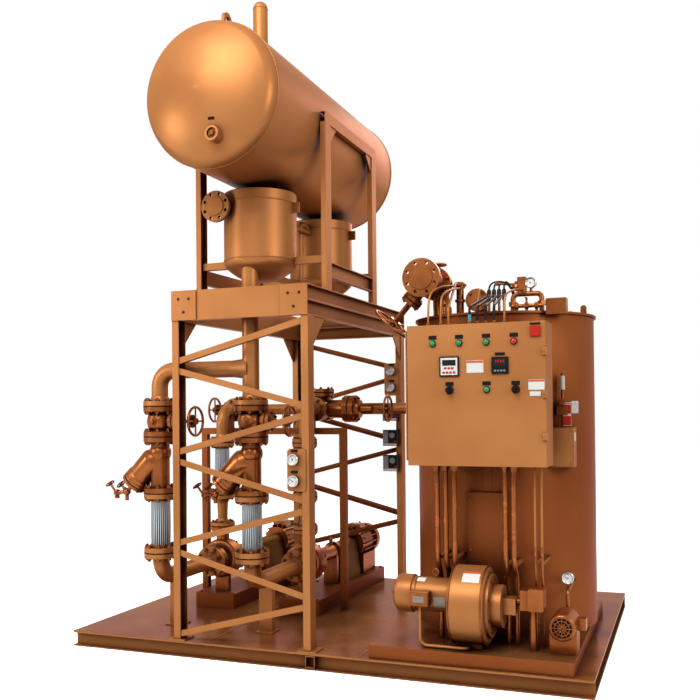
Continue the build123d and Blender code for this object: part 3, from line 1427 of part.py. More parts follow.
def round_on_door(x, drop, radius, depth):
    # A round lamp or knob on the door
    z = cabinet_roof - drop
    rod((cabinet_left + x, cabinet_front, z), (cabinet_left + x, cabinet_front - depth, z), radius)


with BuildPart() as door_controls:
    for index in (1, 2, 3, 4):
        round_on_door(index * lamp_pitch, lamp_row_distance, lamp_radius, lamp_height)
    round_on_door(3 * lamp_pitch, knob_row_distance, lamp_radius, lamp_height)
    for x in (knob_left_x, knob_right_x):
        round_on_door(x, knob_row_distance, knob_radius, knob_height)
    on_door(knob_left_x, controller_row_distance, controller_width, controller_width, controller_height)
    on_door(small_controller_x, controller_row_distance,
            small_controller_width, small_controller_width, controller_height)
    on_door(cabinet_width - stop_plate_width, stop_plate_width, stop_plate_width, stop_plate_width, controller_height)
door_controls.part.label = "door_controls"
export_step(door_controls.part, "parts/door_controls.step")

with BuildPart() as conduits:
    drops = [(left_conduit_x + index * left_conduit_pitch, left_conduit_length) for index in range(3)]
    drops += [(right_conduit_x + index * right_conduit_pitch, right_conduit_length) for index in range(2)]
    for x, drop in drops:
        conduit_x = cabinet_left + x
        end_z = cabinet_floor - drop
        pipe([(conduit_x, conduit_y, cabinet_floor), (conduit_x, conduit_y, end_z), (conduit_x, heater_y, end_z)],
             conduit_radius, conduit_bend_radius)
    for index in range(2):
        tube_x = cabinet_left + edge_tube_x + index * edge_tube_pitch
        end_z = cabinet_floor - edge_tube_length
        pipe([(tube_x, conduit_y, cabinet_floor), (tube_x, conduit_y, end_z), (tube_x, heater_y, end_z)],
             tube_radius, conduit_bend_radius)
    heater_saddle()
    tube_y = cabinet_front + tube_inset
    for index in range(probe_count):
        probe_x = heater_x + probe_left_x + index * probe_pitch
        head_z = heater_roof + probe_height - probe_head_height / 2
        tube_foot = (probe_x + (index - 1) * probe_pitch / 2, tube_y, cabinet_roof)
        pipe([(probe_x, fitting_y, head_z), (probe_x, fitting_y - conduit_bend_radius, head_z),
              along(tube_foot, up, 2 * conduit_bend_radius), tube_foot], tube_radius, conduit_bend_radius / 2)
        rod(tube_foot, along(tube_foot, up, tube_gland_height), tube_gland_radius)
        post_rod(probe_x, fitting_y, heater_roof, heater_roof + probe_height,
                 probe_head_radius + contact_gap, mode=Mode.SUBTRACT)
    tube_foot = (relief_x + 2 * relief_cap_radius, tube_y, cabinet_roof)
    pipe([(relief_x, relief_y, relief_top), (relief_x, relief_y - 2 * conduit_bend_radius, relief_top),
          along(tube_foot, up, 2 * conduit_bend_radius), tube_foot], tube_radius, conduit_bend_radius / 2)
    rod(tube_foot, along(tube_foot, up, tube_gland_height), tube_gland_radius)
    post_rod(relief_x, relief_y, heater_roof, relief_top + relief_cap_radius,
             relief_cap_radius + contact_gap, mode=Mode.SUBTRACT)
    lead_z = plinth_top + lead_lift_height
    box_front_y = blower_y - blower_motor_radius - terminal_box_depth / 2
    box_low = plinth_top + blower_motor_height - terminal_box_height / 2
    lead_x = blower_left - blower_motor_length / 2
    pipe([(lead_x, box_front_y, box_low), (lead_x, box_front_y, lead_z), (duct_x, box_front_y, lead_z),
          (duct_x, blower_y - duct_width / 2, lead_z)], lead_radius, lead_bend_radius)
conduits.part.label = "conduits"
export_step(conduits.part, "parts/conduits.step")
# Gauges and switches on the right-hand tower posts
post_face = tower_back - post_depth
with BuildPart() as pressure_switches:
    switch_right = tower_right - post_wall - 2 * gusset_thickness
    for index in range(switch_count):
        z = deck_top + switch_bottom_height + index * switch_pitch
        block((switch_right - switch_width, switch_right), (post_face - switch_depth, post_face),
              (z, z + switch_height))
pressure_switches.part.label = "pressure_switches"
export_step(pressure_switches.part, "parts/pressure_switches.step")

def gauge_plate(right, face_y, bottom, width, dial_x):
    # A plate with rounded corners on a post's face, and two dials on it
    middle = (right - width / 2, face_y, bottom + gauge_plate_height / 2)
    with BuildSketch(Plane(origin=middle, x_dir=(1, 0, 0), z_dir=forward)) as outline:
        RectangleRounded(width, gauge_plate_height, gauge_plate_fillet)
    extrude(outline.sketch, amount=gauge_plate_thickness)
    for side in (-1, 1):
        dial = (dial_x, face_y, middle[2] + side * gauge_plate_height / 4)
        rod(dial, along(dial, forward, gauge_depth), gauge_radius)


with BuildPart() as gauge_plates:
    plate_right = tower_right - post_width + brace_lap
    gauge_plate(plate_right, tower_front, deck_top + gauge_plate_bottom_height, gauge_plate_width + brace_lap,
                plate_right - brace_lap - gauge_plate_width / 2)
    gauge_plate(switch_right, post_face, deck_top + switch_bottom_height + switch_count * switch_pitch, switch_width,
                switch_right - switch_width / 2)
gauge_plates.part.label = "gauge_plates"
export_step(gauge_plates.part, "parts/gauge_plates.step")
def handwheel(centre, direction, reach, radius=wheel_radius):
    # A round rim on four spokes, with a hub that turns on the valve's stem
    with Locations(Plane(origin=along(centre, direction, reach), z_dir=direction)):
        Torus(radius, wheel_rim_radius)
        with PolarLocations(radius / 2, wheel_spoke_count):
            Cylinder(wheel_spoke_radius, radius, rotation=(0, 90, 0))
        Cylinder(wheel_hub_radius, wheel_hub_length)
        Cylinder(stem_radius + stem_clearance, 2 * wheel_hub_length, mode=Mode.SUBTRACT)


# Handwheels, each on its own stem
with BuildPart() as first_suction_wheel:
    handwheel((pump_lines[0], suction_y, valve_z), (1, 0, 0), suction_wheel_length)
first_suction_wheel.part.label = "first_suction_wheel"
export_step(first_suction_wheel.part, "parts/first_suction_wheel.step")

with BuildPart() as second_suction_wheel:
    handwheel((pump_lines[1], suction_y, valve_z), (1, 0, 0), suction_wheel_length)
second_suction_wheel.part.label = "second_suction_wheel"
export_step(second_suction_wheel.part, "parts/second_suction_wheel.step")

with BuildPart() as first_discharge_wheel:
    handwheel((pump_lines[0], discharge_valve_y, discharge_z), (-1, 0, 0), first_discharge_wheel_length)
first_discharge_wheel.part.label = "first_discharge_wheel"
export_step(first_discharge_wheel.part, "parts/first_discharge_wheel.step")

with BuildPart() as second_discharge_wheel:
    handwheel((pump_lines[1], discharge_valve_y, discharge_z), (1, 0, 0), second_discharge_wheel_length)
second_discharge_wheel.part.label = "second_discharge_wheel"
export_step(second_discharge_wheel.part, "parts/second_discharge_wheel.step")

with BuildPart() as outlet_wheel:
    handwheel(outlet_centre, outlet_way, outlet_wheel_length, outlet_wheel_radius)
outlet_wheel.part.label = "outlet_wheel"
export_step(outlet_wheel.part, "parts/outlet_wheel.step")
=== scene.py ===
import bmesh
import bpy
import math
from mathutils import Matrix, Vector


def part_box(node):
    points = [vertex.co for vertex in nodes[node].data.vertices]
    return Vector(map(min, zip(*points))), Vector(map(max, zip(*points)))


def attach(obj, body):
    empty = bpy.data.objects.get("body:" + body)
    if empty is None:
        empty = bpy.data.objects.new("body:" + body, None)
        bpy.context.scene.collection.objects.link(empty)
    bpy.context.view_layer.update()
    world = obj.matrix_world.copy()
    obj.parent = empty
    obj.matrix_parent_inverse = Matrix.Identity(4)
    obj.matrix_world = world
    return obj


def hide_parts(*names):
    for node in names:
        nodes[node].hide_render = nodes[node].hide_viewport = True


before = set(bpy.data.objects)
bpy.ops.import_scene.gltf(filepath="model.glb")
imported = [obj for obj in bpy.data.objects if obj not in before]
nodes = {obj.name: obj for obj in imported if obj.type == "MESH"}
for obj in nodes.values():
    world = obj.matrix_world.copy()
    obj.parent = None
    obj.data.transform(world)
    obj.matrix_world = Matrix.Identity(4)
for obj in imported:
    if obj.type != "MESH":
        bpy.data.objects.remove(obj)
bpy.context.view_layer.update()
scene = bpy.context.scene
scene.view_settings.view_transform = "Standard"
mm = 0.001
alongX, alongY, alongZ = (1, 0, 0), (0, 1, 0), (0, 0, 1)
toFront, toLeft, down = (0, -1, 0), (-1, 0, 0), (0, 0, -1)
colourA, colourB, colourOut = 6, 7, 2  # the Mix node's colour sockets
print("frame loaded:", len(nodes), "nodes")


def linearColour(hexText):
    # sRGB hex to Blender's linear colour, by the sRGB standard's own curve
    parts = [int(hexText[i:i + 2], 16) / 255 for i in (1, 3, 5)]
    return tuple(c / 12.92 if c <= 0.04045 else ((c + 0.055) / 1.055) ** 2.4 for c in parts) + (1.0,)


def node(tree, kind, inputs=None, **settings):
    # One shader node: settings first, then each input takes a value or a link
    made = tree.nodes.new(kind)
    for name, value in settings.items():
        setattr(made, name, value)
    for name, value in (inputs or {}).items():
        if isinstance(value, bpy.types.NodeSocket):
            tree.links.new(value, made.inputs[name])
        else:
            made.inputs[name].default_value = value
    return made


def newMaterial(name):
    material = bpy.data.materials.new(name)
    material.use_nodes = True
    material.node_tree.nodes.clear()
    return material, material.node_tree


def seenDirectly(tree):
    # 1 for rays from the camera, from mirrors and through glass, 0 for light that only bounces
    rays = node(tree, "ShaderNodeLightPath")
    seen = rays.outputs["Is Camera Ray"]
    for other in ("Is Glossy Ray", "Is Transmission Ray"):
        seen = node(tree, "ShaderNodeMath", {0: seen, 1: rays.outputs[other]}, operation="MAXIMUM").outputs[0]
    return seen


# Camera: fitted to the skid's and tower's edges in the photograph
cameraValues = {
    "place": (2.300, -6.329, 1.654),
    "right": (0.93535, 0.35361, -0.00962),
    "up": (0.01328, -0.00795, 0.99988),
    "lens": 45.36,
    "shift": (-0.0107, 0.0661),
    "farthest": 100,
}
camera = bpy.data.objects.new("camera", bpy.data.cameras.new("camera"))
scene.collection.objects.link(camera)
right = Vector(cameraValues["right"]).normalized()
up = Vector(cameraValues["up"]).normalized()
turn = Matrix((right, up, right.cross(up))).transposed()
camera.matrix_world = Matrix.Translation(cameraValues["place"]) @ turn.to_4x4()
camera.data.lens = cameraValues["lens"]
camera.data.shift_x, camera.data.shift_y = cameraValues["shift"]
camera.data.clip_end = cameraValues["farthest"]
scene.camera = camera
print("camera set")

# Light and floor: a large soft lamp above the front, lower ones at both sides and behind, white paper
lightValues = {
    "sky": 0.10,
    "key": {"watts": 570, "size": 4.4, "place": (-0.6, -6.0, 7.4)},
    "window": {"watts": 95, "size": 1.2, "place": (-4.8, -4.4, 2.8)},
    "fill": {"watts": 205, "size": 2.8, "place": (6.6, -3.4, 4.2)},
    "rim": {"watts": 190, "size": 3.4, "place": (0.5, 6.0, 5.2)},
    "aim": (0.0, -0.3, 1.8),
    "floor": "#F7F6F4",
    "floorBounce": "#767471",
    "floorGlow": 0.91,
    "floorSide": 60,
}
world = bpy.data.worlds.new("studio")
scene.world = world
world.use_nodes = True
sky = world.node_tree
sky.nodes.clear()
soft = node(sky, "ShaderNodeBackground", {"Color": (1, 1, 1, 1), "Strength": lightValues["sky"]})
white = node(sky, "ShaderNodeBackground", {"Color": (1, 1, 1, 1), "Strength": 1.0})
both = node(sky, "ShaderNodeMixShader", {0: seenDirectly(sky), 1: soft.outputs[0], 2: white.outputs[0]})
node(sky, "ShaderNodeOutputWorld", {"Surface": both.outputs[0]})

for name in ("key", "window", "fill", "rim"):
    values = lightValues[name]
    lamp = bpy.data.objects.new(name, bpy.data.lights.new(name, "AREA"))
    lamp.data.energy = values["watts"]
    lamp.data.size = values["size"]
    lamp.location = values["place"]
    lamp.rotation_euler = (Vector(lightValues["aim"]) - lamp.location).to_track_quat("-Z", "Y").to_euler()
    scene.collection.objects.link(lamp)

floorMesh = bpy.data.meshes.new("floor")
side = lightValues["floorSide"] / 2
floorCorners = [(-side, -side, 0), (side, -side, 0), (side, side, 0), (-side, side, 0)]
floorMesh.from_pydata(floorCorners, [], [(0, 1, 2, 3)])
floor = bpy.data.objects.new("floor", floorMesh)
scene.collection.objects.link(floor)
floorPaper, tree = newMaterial("whitePaperFloor")  # matt white studio paper that runs out of sight
paper = node(tree, "ShaderNodeBsdfDiffuse", {"Color": linearColour(lightValues["floor"])})
grey = node(tree, "ShaderNodeBsdfDiffuse", {"Color": linearColour(lightValues["floorBounce"])})
glow = node(tree, "ShaderNodeEmission", {"Color": (1, 1, 1, 1), "Strength": lightValues["floorGlow"]})
lit = node(tree, "ShaderNodeAddShader", {0: paper.outputs[0], 1: glow.outputs[0]})
mixed = node(tree, "ShaderNodeMixShader", {0: seenDirectly(tree), 1: grey.outputs[0], 2: lit.outputs[0]})
node(tree, "ShaderNodeOutputMaterial", {"Surface": mixed.outputs[0]})
floorMesh.materials.append(floorPaper)
print("light and floor set")


# Where the tones fall: a spread is where in a noise, or how open a corner (painted shade), a tone begins and
# ends
sprayValues = {
    "cloudSpread": (0.2, 0.8), "cloudDetail": 2.0,
    "nookShadeSpread": (0.25, 0.85), "nookShadeRays": 4,
    "glossSpread": (0.3, 0.7), "smoother": 0.05, "rougher": 0.07,
    "skinDetail": 3.0, "skinHeight": 0.2,  # the skin's height as a share of its width
    "edgeRays": 3,
}


def enamel(name, values):
    # Sprayed paint: two tones in soft clouds, painted shade in corners, a fine skin and paint-rounded edges
    material, tree = newMaterial(name)
    where = node(tree, "ShaderNodeTexCoord").outputs["Object"]
    clouds = node(tree, "ShaderNodeTexNoise", {
        "Vector": where, "Scale": 1 / (values["cloudMm"] * mm), "Detail": sprayValues["cloudDetail"]})
    low, high = sprayValues["cloudSpread"]
    spread = node(tree, "ShaderNodeMapRange", {"Value": clouds.outputs[0], "From Min": low, "From Max": high})
    tint = node(tree, "ShaderNodeMix", {
        0: spread.outputs[0], colourA: linearColour(values["dark"]), colourB: linearColour(values["colour"])},
        data_type="RGBA")
    # Painted shade: a darker colour is mixed in where other parts close the surface in
    nookShade = node(tree, "ShaderNodeAmbientOcclusion", {"Distance": values["nookShadeMm"] * mm},
                samples=sprayValues["nookShadeRays"])
    low, high = sprayValues["nookShadeSpread"]
    nookShadeMask = node(tree, "ShaderNodeMapRange", {"Value": nookShade.outputs["AO"], "From Min": low, "From Max": high})
    tint = node(tree, "ShaderNodeMix", {
        0: nookShadeMask.outputs[0], colourA: linearColour(values["nookShade"]), colourB: tint.outputs[colourOut]},
        data_type="RGBA")
    low, high = sprayValues["glossSpread"]
    gloss = node(tree, "ShaderNodeMapRange", {
        "Value": clouds.outputs[0], "From Min": low, "From Max": high,
        "To Min": values["rough"] - sprayValues["smoother"],
        "To Max": values["rough"] + sprayValues["rougher"]})
    skin = node(tree, "ShaderNodeTexNoise", {
        "Vector": where, "Scale": 1 / (values["skinMm"] * mm), "Detail": sprayValues["skinDetail"]})
    edge = node(tree, "ShaderNodeBevel", {"Radius": values["edgeMm"] * mm}, samples=sprayValues["edgeRays"])
    bump = node(tree, "ShaderNodeBump", {
        "Height": skin.outputs[0], "Strength": values["skinStrength"],
        "Distance": values["skinMm"] * mm * sprayValues["skinHeight"], "Normal": edge.outputs[0]})
    paint = node(tree, "ShaderNodeBsdfPrincipled", {
        "Base Color": tint.outputs[colourOut], "Metallic": values["metallic"], "Roughness": gloss.outputs[0],
        "Specular IOR Level": values["shine"], "Specular Tint": linearColour(values["flake"]),
        "Normal": bump.outputs[0]})
    node(tree, "ShaderNodeOutputMaterial", {"Surface": paint.outputs[0]})
    return material


# Bronze alkyd enamel sprayed over rolled steel after assembly: even, semi-gloss, faint orange peel
bronzePaint = enamel("bronzeEnamelOnRolledSteel", {
    "colour": "#BD7E4B", "dark": "#AA6C3D", "cloudMm": 500, "nookShade": "#3C1509", "nookShadeMm": 200,
    "flake": "#DC9860", "skinMm": 4, "skinStrength": 0.10, "edgeMm": 3,
    "rough": 0.40, "metallic": 0.38, "shine": 0.08})
# The same enamel over sand-cast iron: the sand skin shows as a grain under the paint, drawn coarser
# than real sand so that it shows
castPaint = enamel("bronzeEnamelOnCastIron", {
    "colour": "#A56236", "dark": "#7A401D", "cloudMm": 160, "nookShade": "#2E1006", "nookShadeMm": 80,
    "flake": "#E8A870", "skinMm": 2.5, "skinStrength": 0.35, "edgeMm": 4,
    "rough": 0.25, "metallic": 0.60, "shine": 0.30})
# A redder, darker copy of the bronze enamel: painted shade on the heater's jacket, the bases and the back
# steelwork
shadedBronzePaint = enamel("shadedBronzeEnamel", {
    "colour": "#9E5A30", "dark": "#884722", "cloudMm": 600, "nookShade": "#301006", "nookShadeMm": 320,
    "flake": "#D68E58", "skinMm": 5, "skinStrength": 0.10, "edgeMm": 3,
    "rough": 0.40, "metallic": 0.36, "shine": 0.06})
# The deck got an extra wet coat with a slow ripple, so it mirrors what stands on it
deckPaint = enamel("glossyBronzeEnamelOnDeckPlate", {
    "colour": "#B07645", "dark": "#8A552D", "cloudMm": 350, "nookShade": "#2E1004", "nookShadeMm": 240,
    "flake": "#B98048", "skinMm": 30, "skinStrength": 0.06, "edgeMm": 2,
    "rough": 0.22, "metallic": 0.50, "shine": 0.12})
# Coupling guards: yellow safety enamel under a thin bronze overspray, dull and brownish
guardPaint = enamel("yellowEnamelOnGuardSheet", {
    "colour": "#7E521E", "dark": "#5E3A12", "cloudMm": 120, "nookShade": "#3A1B05", "nookShadeMm": 60,
    "flake": "#E0B060", "skinMm": 4, "skinStrength": 0.10, "edgeMm": 3,
    "rough": 0.50, "metallic": 0.35, "shine": 0.04})

grainValues = {"detail": 2.0, "height": 0.2, "gloss": 0.15}  # height is a share of the grain's width


def plain(name, colour, rough, metallic=0.0, grainMm=1.5, grain=0.05, coat=0.0, vary=0.08, shine=0.5):
    # A small part's surface: one colour that varies a little, with a grain in gloss and height that is
    # drawn coarser than the real one so that it shows
    material, tree = newMaterial(name)
    where = node(tree, "ShaderNodeTexCoord")
    speck = node(tree, "ShaderNodeTexNoise", {
        "Vector": where.outputs["Object"], "Scale": 1 / (grainMm * mm), "Detail": grainValues["detail"]})
    shade = node(tree, "ShaderNodeMapRange", {
        "Value": speck.outputs[0], "To Min": 1 - vary, "To Max": 1 + vary})
    tone = node(tree, "ShaderNodeHueSaturation", {"Value": shade.outputs[0], "Color": linearColour(colour)})
    gloss = node(tree, "ShaderNodeMapRange", {
        "Value": speck.outputs[0], "To Min": rough * (1 - grainValues["gloss"]),
        "To Max": rough * (1 + grainValues["gloss"])})
    bump = node(tree, "ShaderNodeBump", {
        "Height": speck.outputs[0], "Strength": grain, "Distance": grainMm * mm * grainValues["height"]})
    body = node(tree, "ShaderNodeBsdfPrincipled", {
        "Base Color": tone.outputs[0], "Roughness": gloss.outputs[0], "Metallic": metallic,
        "Coat Weight": coat, "Specular IOR Level": shine, "Normal": bump.outputs[0]})
    node(tree, "ShaderNodeOutputMaterial", {"Surface": body.outputs[0]})
    return material


# Moulded and extruded plastics and rubber: satin, with the mould's fine grain
blackPlastic = plain("mouldedBlackPlastic", "#0B0C0D", 0.42, grain=0.15, shine=0.14)
blackRubber = plain("extrudedBlackRubber", "#0C0B0A", 0.50, grain=0.10, shine=0.16)
blueSleeve = plain("blueHeatShrinkSleeve", "#1B8FA8", 0.40, grain=0.05)
greyPlastic = plain("mouldedGreyPlastic", "#8E9297", 0.45, grain=0.12)
# Printed vinyl and engraved laminate: flat, even sheets with a slight gloss
whitePlate = plain("whitePrintedVinyl", "#ECEBE6", 0.38, grain=0.03, vary=0.02)
redPlate = plain("redEngravedLaminate", "#C5281C", 0.35, grain=0.04, shine=0.2)
orangeBand = plain("orangePrintedVinyl", "#D9612A", 0.38, grain=0.03, vary=0.03)
# Dials: stove enamel under a clear front, with matt printed ink
dialWhite = plain("whiteEnamelledDial", "#F2F2EE", 0.30, grain=0.02, coat=0.6, vary=0.02)
dialInk = plain("blackPrintedInk", "#121212", 0.5, grain=0.02)
# Acrylic lenses, display windows and the glass tube: smooth from the mould or the draw, with a sharp shine
greenLens = plain("greenAcrylicLens", "#0F9A45", 0.14, grain=0.02, coat=0.15, shine=0.3)
redLens = plain("redAcrylicLens", "#D2231B", 0.14, grain=0.02, coat=0.15, shine=0.3)
displayGlass = plain("darkDisplayWindow", "#0A0D10", 0.08, grain=0.01, coat=0.1, shine=0.25)
sightGlass = plain("borosilicateSightGlass", "#D8CBBB", 0.08, grain=0.01, coat=0.8, vary=0.02)
# Bare metals: brushed bezels, dull rolled nameplates, and bolts made near black as painted shade
bezelSteel = plain("brushedStainlessBezel", "#B9BDC1", 0.30, metallic=1.0, grainMm=0.6, grain=0.08)
namePlate = plain("rolledAluminiumNameplate", "#8F877B", 0.45, metallic=0.2, grainMm=0.8, grain=0.08)
shadeBlackSteel = plain("shadeBlackBoltSteel", "#2A1B12", 0.45, metallic=0.6, grain=0.1)
# Matt and nearly black: pressed graphite between flanges, and painted shade for openings that no light
# reaches
graphiteGasket = plain("pressedGraphiteGasket", "#0E0603", 0.7, grain=0.1, shine=0.1)
darkHole = plain("unlitBoltHole", "#0C0502", 0.8, grain=0.05, shine=0.1)

# Stainless wire braid: flat bundles cross at a steep lay, bright on top, with painted shade to black in the
# gaps; a real bundle of some 5 mm is too fine to show, so it is drawn wider
braidValues = {"bundleMm": 14.0, "layMm": 1200.0, "bright": "#C4C9CE", "gapShade": "#08090A", "rough": 0.30,
               "metallic": 0.6, "crownSpread": (0.1, 0.9), "strength": 0.8, "depthMm": 3}
wireBraid, tree = newMaterial("stainlessWireBraid")
where = node(tree, "ShaderNodeTexCoord")
apart = node(tree, "ShaderNodeSeparateXYZ", {0: where.outputs["UV"]})
waves = [node(tree, "ShaderNodeMath", {0: apart.outputs[i], 1: 2 * math.pi / (braidValues[size] * mm)},
              operation="MULTIPLY").outputs[0] for i, size in enumerate(("bundleMm", "layMm"))]
strands = []
for way in ("ADD", "SUBTRACT"):
    phase = node(tree, "ShaderNodeMath", {0: waves[0], 1: waves[1]}, operation=way)
    strands.append(node(tree, "ShaderNodeMath", {0: phase.outputs[0]}, operation="SINE").outputs[0])
crown = node(tree, "ShaderNodeMath", {0: strands[0], 1: strands[1]}, operation="MAXIMUM")
low, high = braidValues["crownSpread"]
height = node(tree, "ShaderNodeMapRange", {"Value": crown.outputs[0], "From Min": low, "From Max": high})
colour = node(tree, "ShaderNodeMix", {
    0: height.outputs[0], colourA: linearColour(braidValues["gapShade"]),
    colourB: linearColour(braidValues["bright"])}, data_type="RGBA")
bump = node(tree, "ShaderNodeBump", {
    "Height": height.outputs[0], "Strength": braidValues["strength"],
    "Distance": braidValues["depthMm"] * mm})
wire = node(tree, "ShaderNodeBsdfPrincipled", {
    "Base Color": colour.outputs[colourOut], "Metallic": braidValues["metallic"],
    "Roughness": braidValues["rough"], "Normal": bump.outputs[0]})
node(tree, "ShaderNodeOutputMaterial", {"Surface": wire.outputs[0]})
print("materials set")

# CAD nodes: bronze on all plate and pipe, the cast grain on castings, other paints where they differ
nodePaints = {
    castPaint: ("line_valves", "y_strainers", "pump_casings", "pump_motors", "outlet_valve", "outlet_wheel",
                "first_suction_wheel", "second_suction_wheel", "first_discharge_wheel",
                "second_discharge_wheel", "oil_pump", "gas_train", "heater_fittings", "sight_glass_assembly"),
    # Painted shade: the darker copy of the bronze enamel on the heater, the bases and the back steelwork
    shadedBronzePaint: ("heater_casing", "burner_panel", "heater_top", "heater_plinth", "pump_bases",
                  "back_bracing", "pipe_support_legs", "pipe_support_beam"),
    deckPaint: ("deck_plate",),
    guardPaint: ("coupling_guards",),
    blackPlastic: ("pressure_switches", "door_controls"),
}
paintOf = {name: paint for paint, names in nodePaints.items() for name in names}
for name, part in nodes.items():
    part.data.materials.clear()
    part.data.materials.append(paintOf.get(name, bronzePaint))

# Faces with a second material: the black leads over the cabinet, the plinth's top and the door's lenses
leadValues = {"left": 1.00, "right": 1.20, "front": -0.44, "low": 2.14}
plinthValues = {"levelNormal": 0.9}
lensValues = {"stopLow": 2.055, "lampLow": 2.0, "redLeft": 1.25, "lowerTop": 1.78, "lowerLeft": 1.1,
              "lowerRight": 1.2}
leadPart = nodes["conduits"]
leadPart.data.materials.append(blackRubber)
for face in leadPart.data.polygons:
    x, y, z = face.center
    if leadValues["left"] < x < leadValues["right"] and y < leadValues["front"] and z > leadValues["low"]:
        face.material_index = 1
plinth = nodes["heater_plinth"]
plinth.data.materials.append(deckPaint)
for face in plinth.data.polygons:
    if face.normal.z > plinthValues["levelNormal"]:
        face.material_index = 1
controls = nodes["door_controls"]
greenSlot, redSlot, stopSlot = 1, 2, 3
for material in (greenLens, redLens, redPlate):
    controls.data.materials.append(material)
for face in controls.data.polygons:
    x, y, z = face.center
    if z > lensValues["stopLow"]:
        face.material_index = stopSlot
    elif z > lensValues["lampLow"]:
        face.material_index = redSlot if x > lensValues["redLeft"] else greenSlot
    elif z < lensValues["lowerTop"] and lensValues["lowerLeft"] < x < lensValues["lowerRight"]:
        face.material_index = greenSlot
print("nodes painted")


def facing(place, axis):
    # A frame at a place whose Z runs along an axis
    return Matrix.Translation(place) @ Vector(axis).to_track_quat("Z", "Y").to_matrix().to_4x4()


def bar(mesh, place, axis, radius, length, sides=20):
    # A round or many-sided bar that starts at a place and runs along an axis
    at = facing(place, axis) @ Matrix.Translation((0, 0, length / 2))
    bmesh.ops.create_cone(mesh, cap_ends=True, segments=sides, radius1=radius, radius2=radius, depth=length,
                          matrix=at)


def slab(mesh, middle, size, turn=Matrix()):
    # A box round its middle
    at = Matrix.Translation(middle) @ turn @ Matrix.Diagonal((*size, 1))
    bmesh.ops.create_cube(mesh, size=1, matrix=at)


def ring(mesh, place, axis, radius, thick, sides=48, rows=8):
    # A round ring of round section
    at = facing(place, axis)
    loops = []
    for i in range(sides):
        a = 2 * math.pi * i / sides
        loop = []
        for j in range(rows):
            b = 2 * math.pi * j / rows
            reach = radius + thick * math.cos(b)
            spot = Vector((reach * math.cos(a), reach * math.sin(a), thick * math.sin(b)))
            loop.append(mesh.verts.new(at @ spot))
        loops.append(loop)
    for i in range(sides):
        for j in range(rows):
            mesh.faces.new((loops[i - 1][j - 1], loops[i][j - 1], loops[i][j], loops[i - 1][j]))


def lathe(mesh, place, axis, outline, sides=32):
    # A turned shape: an outline of radius and height round an axis, closed where the radius is zero
    at = facing(place, axis)
    loops = []
    for radius, rise in outline:
        if radius == 0:
            loops.append([mesh.verts.new(at @ Vector((0, 0, rise)))] * sides)
        else:
            loops.append([mesh.verts.new(at @ Vector((radius * math.cos(2 * math.pi * i / sides),
                                                      radius * math.sin(2 * math.pi * i / sides), rise)))
                          for i in range(sides)])
    for low, high in zip(loops, loops[1:]):
        for i in range(sides):
            corners = []
            for vert in (low[i - 1], low[i], high[i], high[i - 1]):
                if vert not in corners:
                    corners.append(vert)
            mesh.faces.new(corners)


def piece(name, mesh, material, body="skid", bevel=0.0, smoothDegrees=40):
    # Turns a built mesh into an object that rides on a body
    data = bpy.data.meshes.new(name)
    bmesh.ops.recalc_face_normals(mesh, faces=mesh.faces)
    mesh.to_mesh(data)
    mesh.free()
    data.shade_smooth()
    data.set_sharp_from_angle(angle=math.radians(smoothDegrees))
    data.materials.append(material)
    made = bpy.data.objects.new(name, data)
    scene.collection.objects.link(made)
    if bevel:
        softer = made.modifiers.new("softEdges", "BEVEL")
        softer.width = bevel
        softer.segments = 2
        softer.limit_method = "ANGLE"
    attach(made, body)
    return made


def circleSpots(place, axis, circle, count):
    # Evenly spaced spots on a circle round an axis
    at = facing(place, axis)
    angles = [2 * math.pi * (i + 0.5) / count for i in range(count)]
    return [at @ Vector((circle * math.cos(a), circle * math.sin(a), 0)) for a in angles]


def studs(mesh, joint, axis, values):
    # Stud bolts round a flange joint, with a hex nut and a stud end on both sides
    nut, grip = values["nut"], values["grip"]
    nutHeight, studRadius, studEnd = 0.9 * nut, 0.55 * nut, 0.5 * nut
    for spot in circleSpots(joint, axis, values["circle"], values["count"]):
        for sign in (-1, 1):
            way = sign * Vector(axis).normalized()
            bar(mesh, spot + way * grip, way, nut, nutHeight, sides=6)
            bar(mesh, spot + way * (grip + nutHeight), way, studRadius, studEnd, sides=10)


def screws(mesh, spots, axis, radius):
    # Hex bolt heads on washers, seated at their spots
    way = Vector(axis).normalized()
    washer, washerHeight, headHeight = 1.35 * radius, 0.2 * radius, 0.7 * radius
    for spot in spots:
        bar(mesh, spot, way, washer, washerHeight, sides=16)
        bar(mesh, Vector(spot) + way * washerHeight, way, radius, headHeight, sides=6)


def dialMark(mesh, place, radius, angle, inner, outer, width, lift):
    # A straight mark on a dial that faces the front, at an angle from the top, in shares of the radius
    thick = 0.03 * radius
    turned = Matrix.Rotation(-angle, 4, "Y")
    middle = Matrix.Translation(place) @ turned @ Vector((0, -radius * lift, radius * (inner + outer) / 2))
    slab(mesh, middle, (radius * width, thick, radius * (outer - inner)), turned)


def wrap(mesh, place, axis, radius, length, span, thick=1.6 * mm, parts=10):
    # A thin plate bent round a drum: it runs along the axis from a place, over a span of degrees
    turnTo = Matrix.Translation(place) @ Vector(axis).to_track_quat("Z", "X").to_matrix().to_4x4()
    section = ((radius, 0), (radius + thick, 0), (radius + thick, length), (radius, length))
    rows = []
    for i in range(parts + 1):
        a = math.radians(span[0] + (span[1] - span[0]) * i / parts)
        rows.append([mesh.verts.new(turnTo @ Vector((r * math.cos(a), r * math.sin(a), z)))
                     for r, z in section])
    for low, high in zip(rows, rows[1:]):
        for j in range(4):
            mesh.faces.new((low[j - 1], low[j], high[j], high[j - 1]))
    mesh.faces.new(rows[0])
    mesh.faces.new(rows[-1])


def scaled(outline, unit=mm):
    # An outline of radii and heights in another unit, in metres
    return [(radius * unit, rise * unit) for radius, rise in outline]


